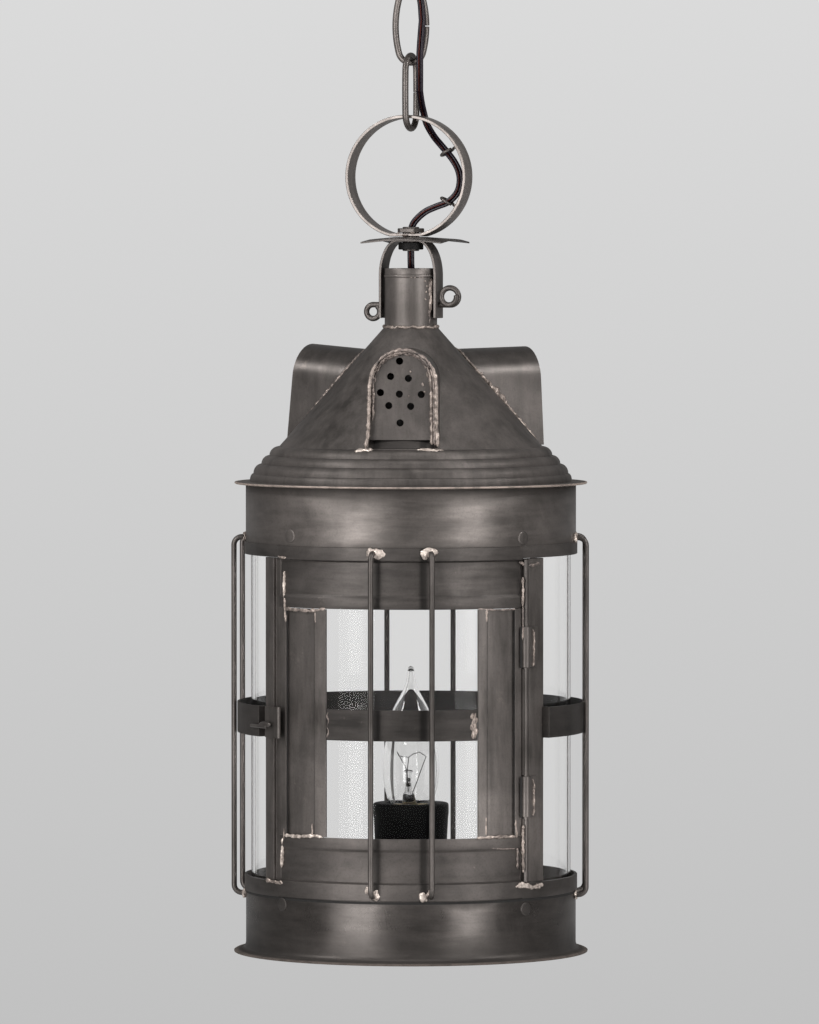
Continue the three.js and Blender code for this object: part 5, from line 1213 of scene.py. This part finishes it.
# guard wires' ends; those on the door at their places in the photograph, with their sizes
for i, (point, out) in enumerate(guard_ends):
    aside = Z.cross(out).normalized() * (1.2 if i % 2 else -1.2)
    lump("clean", point + (out * 0.4 + aside) * MM, out, (2.9, 2.6, 1.4), 54 + i)
DOOR_LUMPS = (
    (379.0, 554.0, 3.9, 2.8, 1.5), (372.0, 553.0, 2.6, 2.6, 1.4), (430.5, 552.6, 4.4, 2.7, 1.6),
    (425.5, 555.5, 2.2, 1.9, 1.2), (375.5, 896.5, 2.9, 2.9, 1.6), (368.0, 891.5, 1.3, 2.2, 1.0),
    (424.5, 898.0, 2.6, 2.7, 1.5), (431.0, 895.0, 1.6, 2.2, 1.1), (433.0, 561.0, 1.0, 1.8, 0.6))
for i, (px, py, wide, tall, proud) in enumerate(DOOR_LUMPS):
    size = (wide, tall, proud)
    lump("clean", from_photo(px, py, 96.0), outward(az_at(px, 96.0)), size, 80 + i, body="door")

# door corners, stile edges and post ends: the radius they lie on, the bead's and (px, py) places
LINES = [
    ("clean", "door", 94.4, 0.85, [(285.5, 571), (285, 585), (285.6, 600)]),
    ("bright", "door", 95.3, 0.8, [(285.6, 598), (286, 608), (287, 622)]),
    ("bright", "door", 95.3, 0.9, [(286, 608.6), (300, 610), (314, 610.6), (326, 608.6)]),
    ("bright", "door", 95.4, 0.65, [(316, 610), (316.2, 616), (316.4, 623)]),
    ("bright", "door", 96.6, 0.7, [(523.6, 577), (524, 590), (523.6, 606)]),
    ("dull", "door", 96.6, 0.5, [(523.8, 606), (524, 622), (523.6, 640)]),
    ("dull", "door", 95.2, 0.45, [(479, 609), (500, 610), (519, 609)]),
    ("bright", "door", 95.4, 0.6, [(487.5, 609), (487.6, 615), (487.5, 622)]),
    ("clean", "door", 94.5, 1.0, [(282.5, 868), (283.2, 852), (284.4, 838)]),
    ("bright", "door", 95.4, 0.8, [(284.4, 840), (285, 834), (285, 829)]),
    ("clean", "door", 95.3, 0.95, [(285, 835.6), (300, 837), (315, 836.4), (323, 837.6)]),
    ("bright", "door", 95.4, 0.55, [(313, 836), (313.2, 830), (313, 824)]),
    ("bright", "door", 97.2, 0.85, [(524.2, 826), (524, 850), (524.4, 873)]),
    ("bright", "door", 95.4, 0.6, [(516.6, 820), (517, 828), (518, 838)]),
    ("dull", "door", 94.5, 0.7, [(518, 840), (518.6, 855), (518.6, 869)]),
    ("bright", "door", 95.3, 0.75, [(478, 838.6), (498, 837.6), (517, 837.2)]),
    ("dull", "door", 95.1, 0.4, [(492, 849), (505, 849.6), (516, 849)]),
    ("bright", "door", 95.4, 0.5, [(487, 836), (487, 827), (487.2, 818)]),
    ("clean", "lantern", 95.9, 1.3, [(516.5, 887.4), (524, 885.8), (534, 887.8), (544, 885.2)]),
    ("bright", "lantern", 95.9, 1.0, [(267, 880.5), (275, 882.4), (285, 884)]),
    ("dull", "lantern", 95.3, 0.9, [(520, 562), (530, 565.4), (541, 563)]),
    ("bright", "lantern", 96.0, 0.7, [(279, 556), (283, 557.6), (287, 557.4)]),
]
for i, (kind, body, r, size, places) in enumerate(LINES):
    bead(kind, [from_photo(px, py, r) for px, py in places], size, 100 + i, 0.42, body, 0.6, 0.55)

# crusty solder at the right end of the middle band and thin at its left
for i, (kind, az, size) in enumerate((
        ("bright", BAND_END - 0.7, 1.0), ("bright", BAND_END - 1.7, 0.95), ("dull", 0.5 - BAND_END, 0.45))):
    points = [around(95.25, az + 0.4 * math.sin(z), z) for z in range(-479, -463, 2)]
    bead(kind, points, size, 140 + i, 0.6, "door", 0.6, 0.5)

# hinge straps' edges
for i, z in enumerate(STRAP_HEIGHTS):
    points = [around(96.2, 49.8 - 0.5 * (abs(k) > 8), z + k) for k in range(-11, 12, 3)]
    bead("bright", points, 0.75, 150 + i, 0.45, step=0.6, flat=0.7)

# nut and ring's foot, guides' feet, and the bolt's thumb rest
NUT_LUMPS = ((3.5, -7.0, -194.0, 1.3), (-6.0, -5.0, -194.3, 1.1), (8.0, -3.0, -194.2, 1.0),
             (-1.0, -7.6, -195.4, 1.6))
for i, (x, y, z, wide) in enumerate(NUT_LUMPS):
    lump("bright", hang(x, y, z), -HANG_Y, (wide, 0.6, 0.6), 160 + i, body="bail")
for i, foot in enumerate(guide_feet):
    lump("bright", foot, -HANG_X, (1.5, 1.5, 0.9), 170 + i, body="bail")
REST_R = 101.2
rest_az = az_at(265.5, REST_R)
rest = lump_form(around(REST_R, rest_az, -473.2), outward(rest_az), (5.8, 1.8, 1.3), 180, 0.05)
settle(make("latch_grip", *rest, WIRE_METAL, 60.0), None, "latch")

for kind, by_body in laid.items():
    for body, parts in by_body.items():
        if parts:
            settle(make("solder_" + kind + "_" + body, *gather(parts), SOLDERS[kind], 60.0), None, body)

RIVET_HEAD = [(3.9, -0.4), (3.9, 0.12), (3.7, 0.32), (3.0, 0.42), (1.8, 0.47), (0.8, 0.5)]
RIVETS = [(-42.8, -365.6), (45.4, -366.6), (-47.0, -575.6), (46.7, -577.5)]


def rivet(az, z, sides=28):
    """A flat rivet head on a drum, from (radius, proud) places."""
    out, centre = outward(az), around(DRUM_R, az, z)
    across = Z.cross(out).normalized()
    verts = []
    for radius, proud in RIVET_HEAD:
        for a in [2 * math.pi * k / sides for k in range(sides)]:
            verts.append(centre + ((across * math.cos(a) + Z * math.sin(a)) * radius + out * proud) * MM)
    return verts, skin(len(RIVET_HEAD), sides)


verts, faces = gather([rivet(*at) for at in RIVETS])
on_which_drum = [2 * k // len(faces) for k in range(len(faces))]
settle(make("rivets", verts, faces, [SHEET_METAL, SHADED_LOW_METAL], 50.0, on_which_drum))


# Stage and light

FLOOR_R, FLOOR_Z, FLOOR_SIDES = 1.5, -1.0, 96
floor_paint = Paint("stage_floor")
greys = [(0.3, (0.62, 0.62, 0.62, 1)), (0.7, (0.66, 0.66, 0.66, 1))]
floor_paint.looks(Base_Color=floor_paint.ramp(floor_paint.noise(2.0, 2.0), greys), Roughness=0.9)
turns = [2 * math.pi * k / FLOOR_SIDES for k in range(FLOOR_SIDES)]
floor_verts = [(FLOOR_R * math.cos(a), FLOOR_R * math.sin(a), FLOOR_Z) for a in turns]
make("stage_floor", floor_verts, [tuple(range(FLOOR_SIDES))], floor_paint.material)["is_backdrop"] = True

# The room: what the camera sees, straight or through glass, and the dimmer one that lights the object
world = bpy.data.worlds.new("studio")
bpy.context.scene.world = world
world.use_nodes = True
room = Nodes(world.node_tree, "Generated")
x, y, z = room.places()
rays = room.node("ShaderNodeLightPath").outputs
through = rays["Is Transmission Ray"]
wall = room.ramp(room.span(z, -0.10, 0.03), [(0.0, srgb(193, 193, 193)), (1.0, srgb(219, 219, 219))])
seen = room.node("ShaderNodeBackground", {"Color": wall, "Strength": room.span(through, 0.0, 1.0, 1.0, 1.18)})
behind_and_ahead = room.math("ADD", room.span(y, -0.2, 0.6, 0.16, 0.31), room.span(y, -1.0, -0.85, 0.26, 0.0))
lit = room.node("ShaderNodeBackground", {"Strength": behind_and_ahead})
either = room.math("MAXIMUM", rays["Is Camera Ray"], through)
mixed = room.node("ShaderNodeMixShader", {0: either, 1: lit.outputs[0], 2: seen.outputs[0]})
room.node("ShaderNodeOutputWorld", {0: mixed.outputs[0]})

LIT_PLACE = Vector((0, 0, -0.38))


def softbox(name, az, distance, height, width, tall, power):
    """A soft rectangular light turned to the lantern; metres and watts."""
    data = bpy.data.lights.new(name, "AREA")
    data.shape = "RECTANGLE"
    data.size = width
    data.size_y = tall
    data.energy = power
    light = bpy.data.objects.new(name, data)
    bpy.context.scene.collection.objects.link(light)
    a = math.radians(az)
    light.location = (distance * math.sin(a), -distance * math.cos(a), height)
    light.rotation_mode = "QUATERNION"
    light.rotation_quaternion = (LIT_PLACE - light.location).to_track_quat("-Z", "Y")


softbox("softbox_left", -37.0, 1.7, -0.25, 0.86, 1.7, 23.0)
softbox("softbox_right", 39.5, 1.7, -0.25, 0.55, 1.7, 17.5)
softbox("softbox_top", 0.0, 0.5, 1.5, 1.6, 1.2, 16.0)
softbox("softbox_side_left", -67.0, 1.4, 0.68, 0.35, 0.3, 10.0)
softbox("softbox_side_right", 67.0, 1.4, 0.68, 0.35, 0.3, 10.0)

bpy.context.scene.view_settings.view_transform = "Standard"

bpy.context.view_layer.update()
low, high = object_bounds()
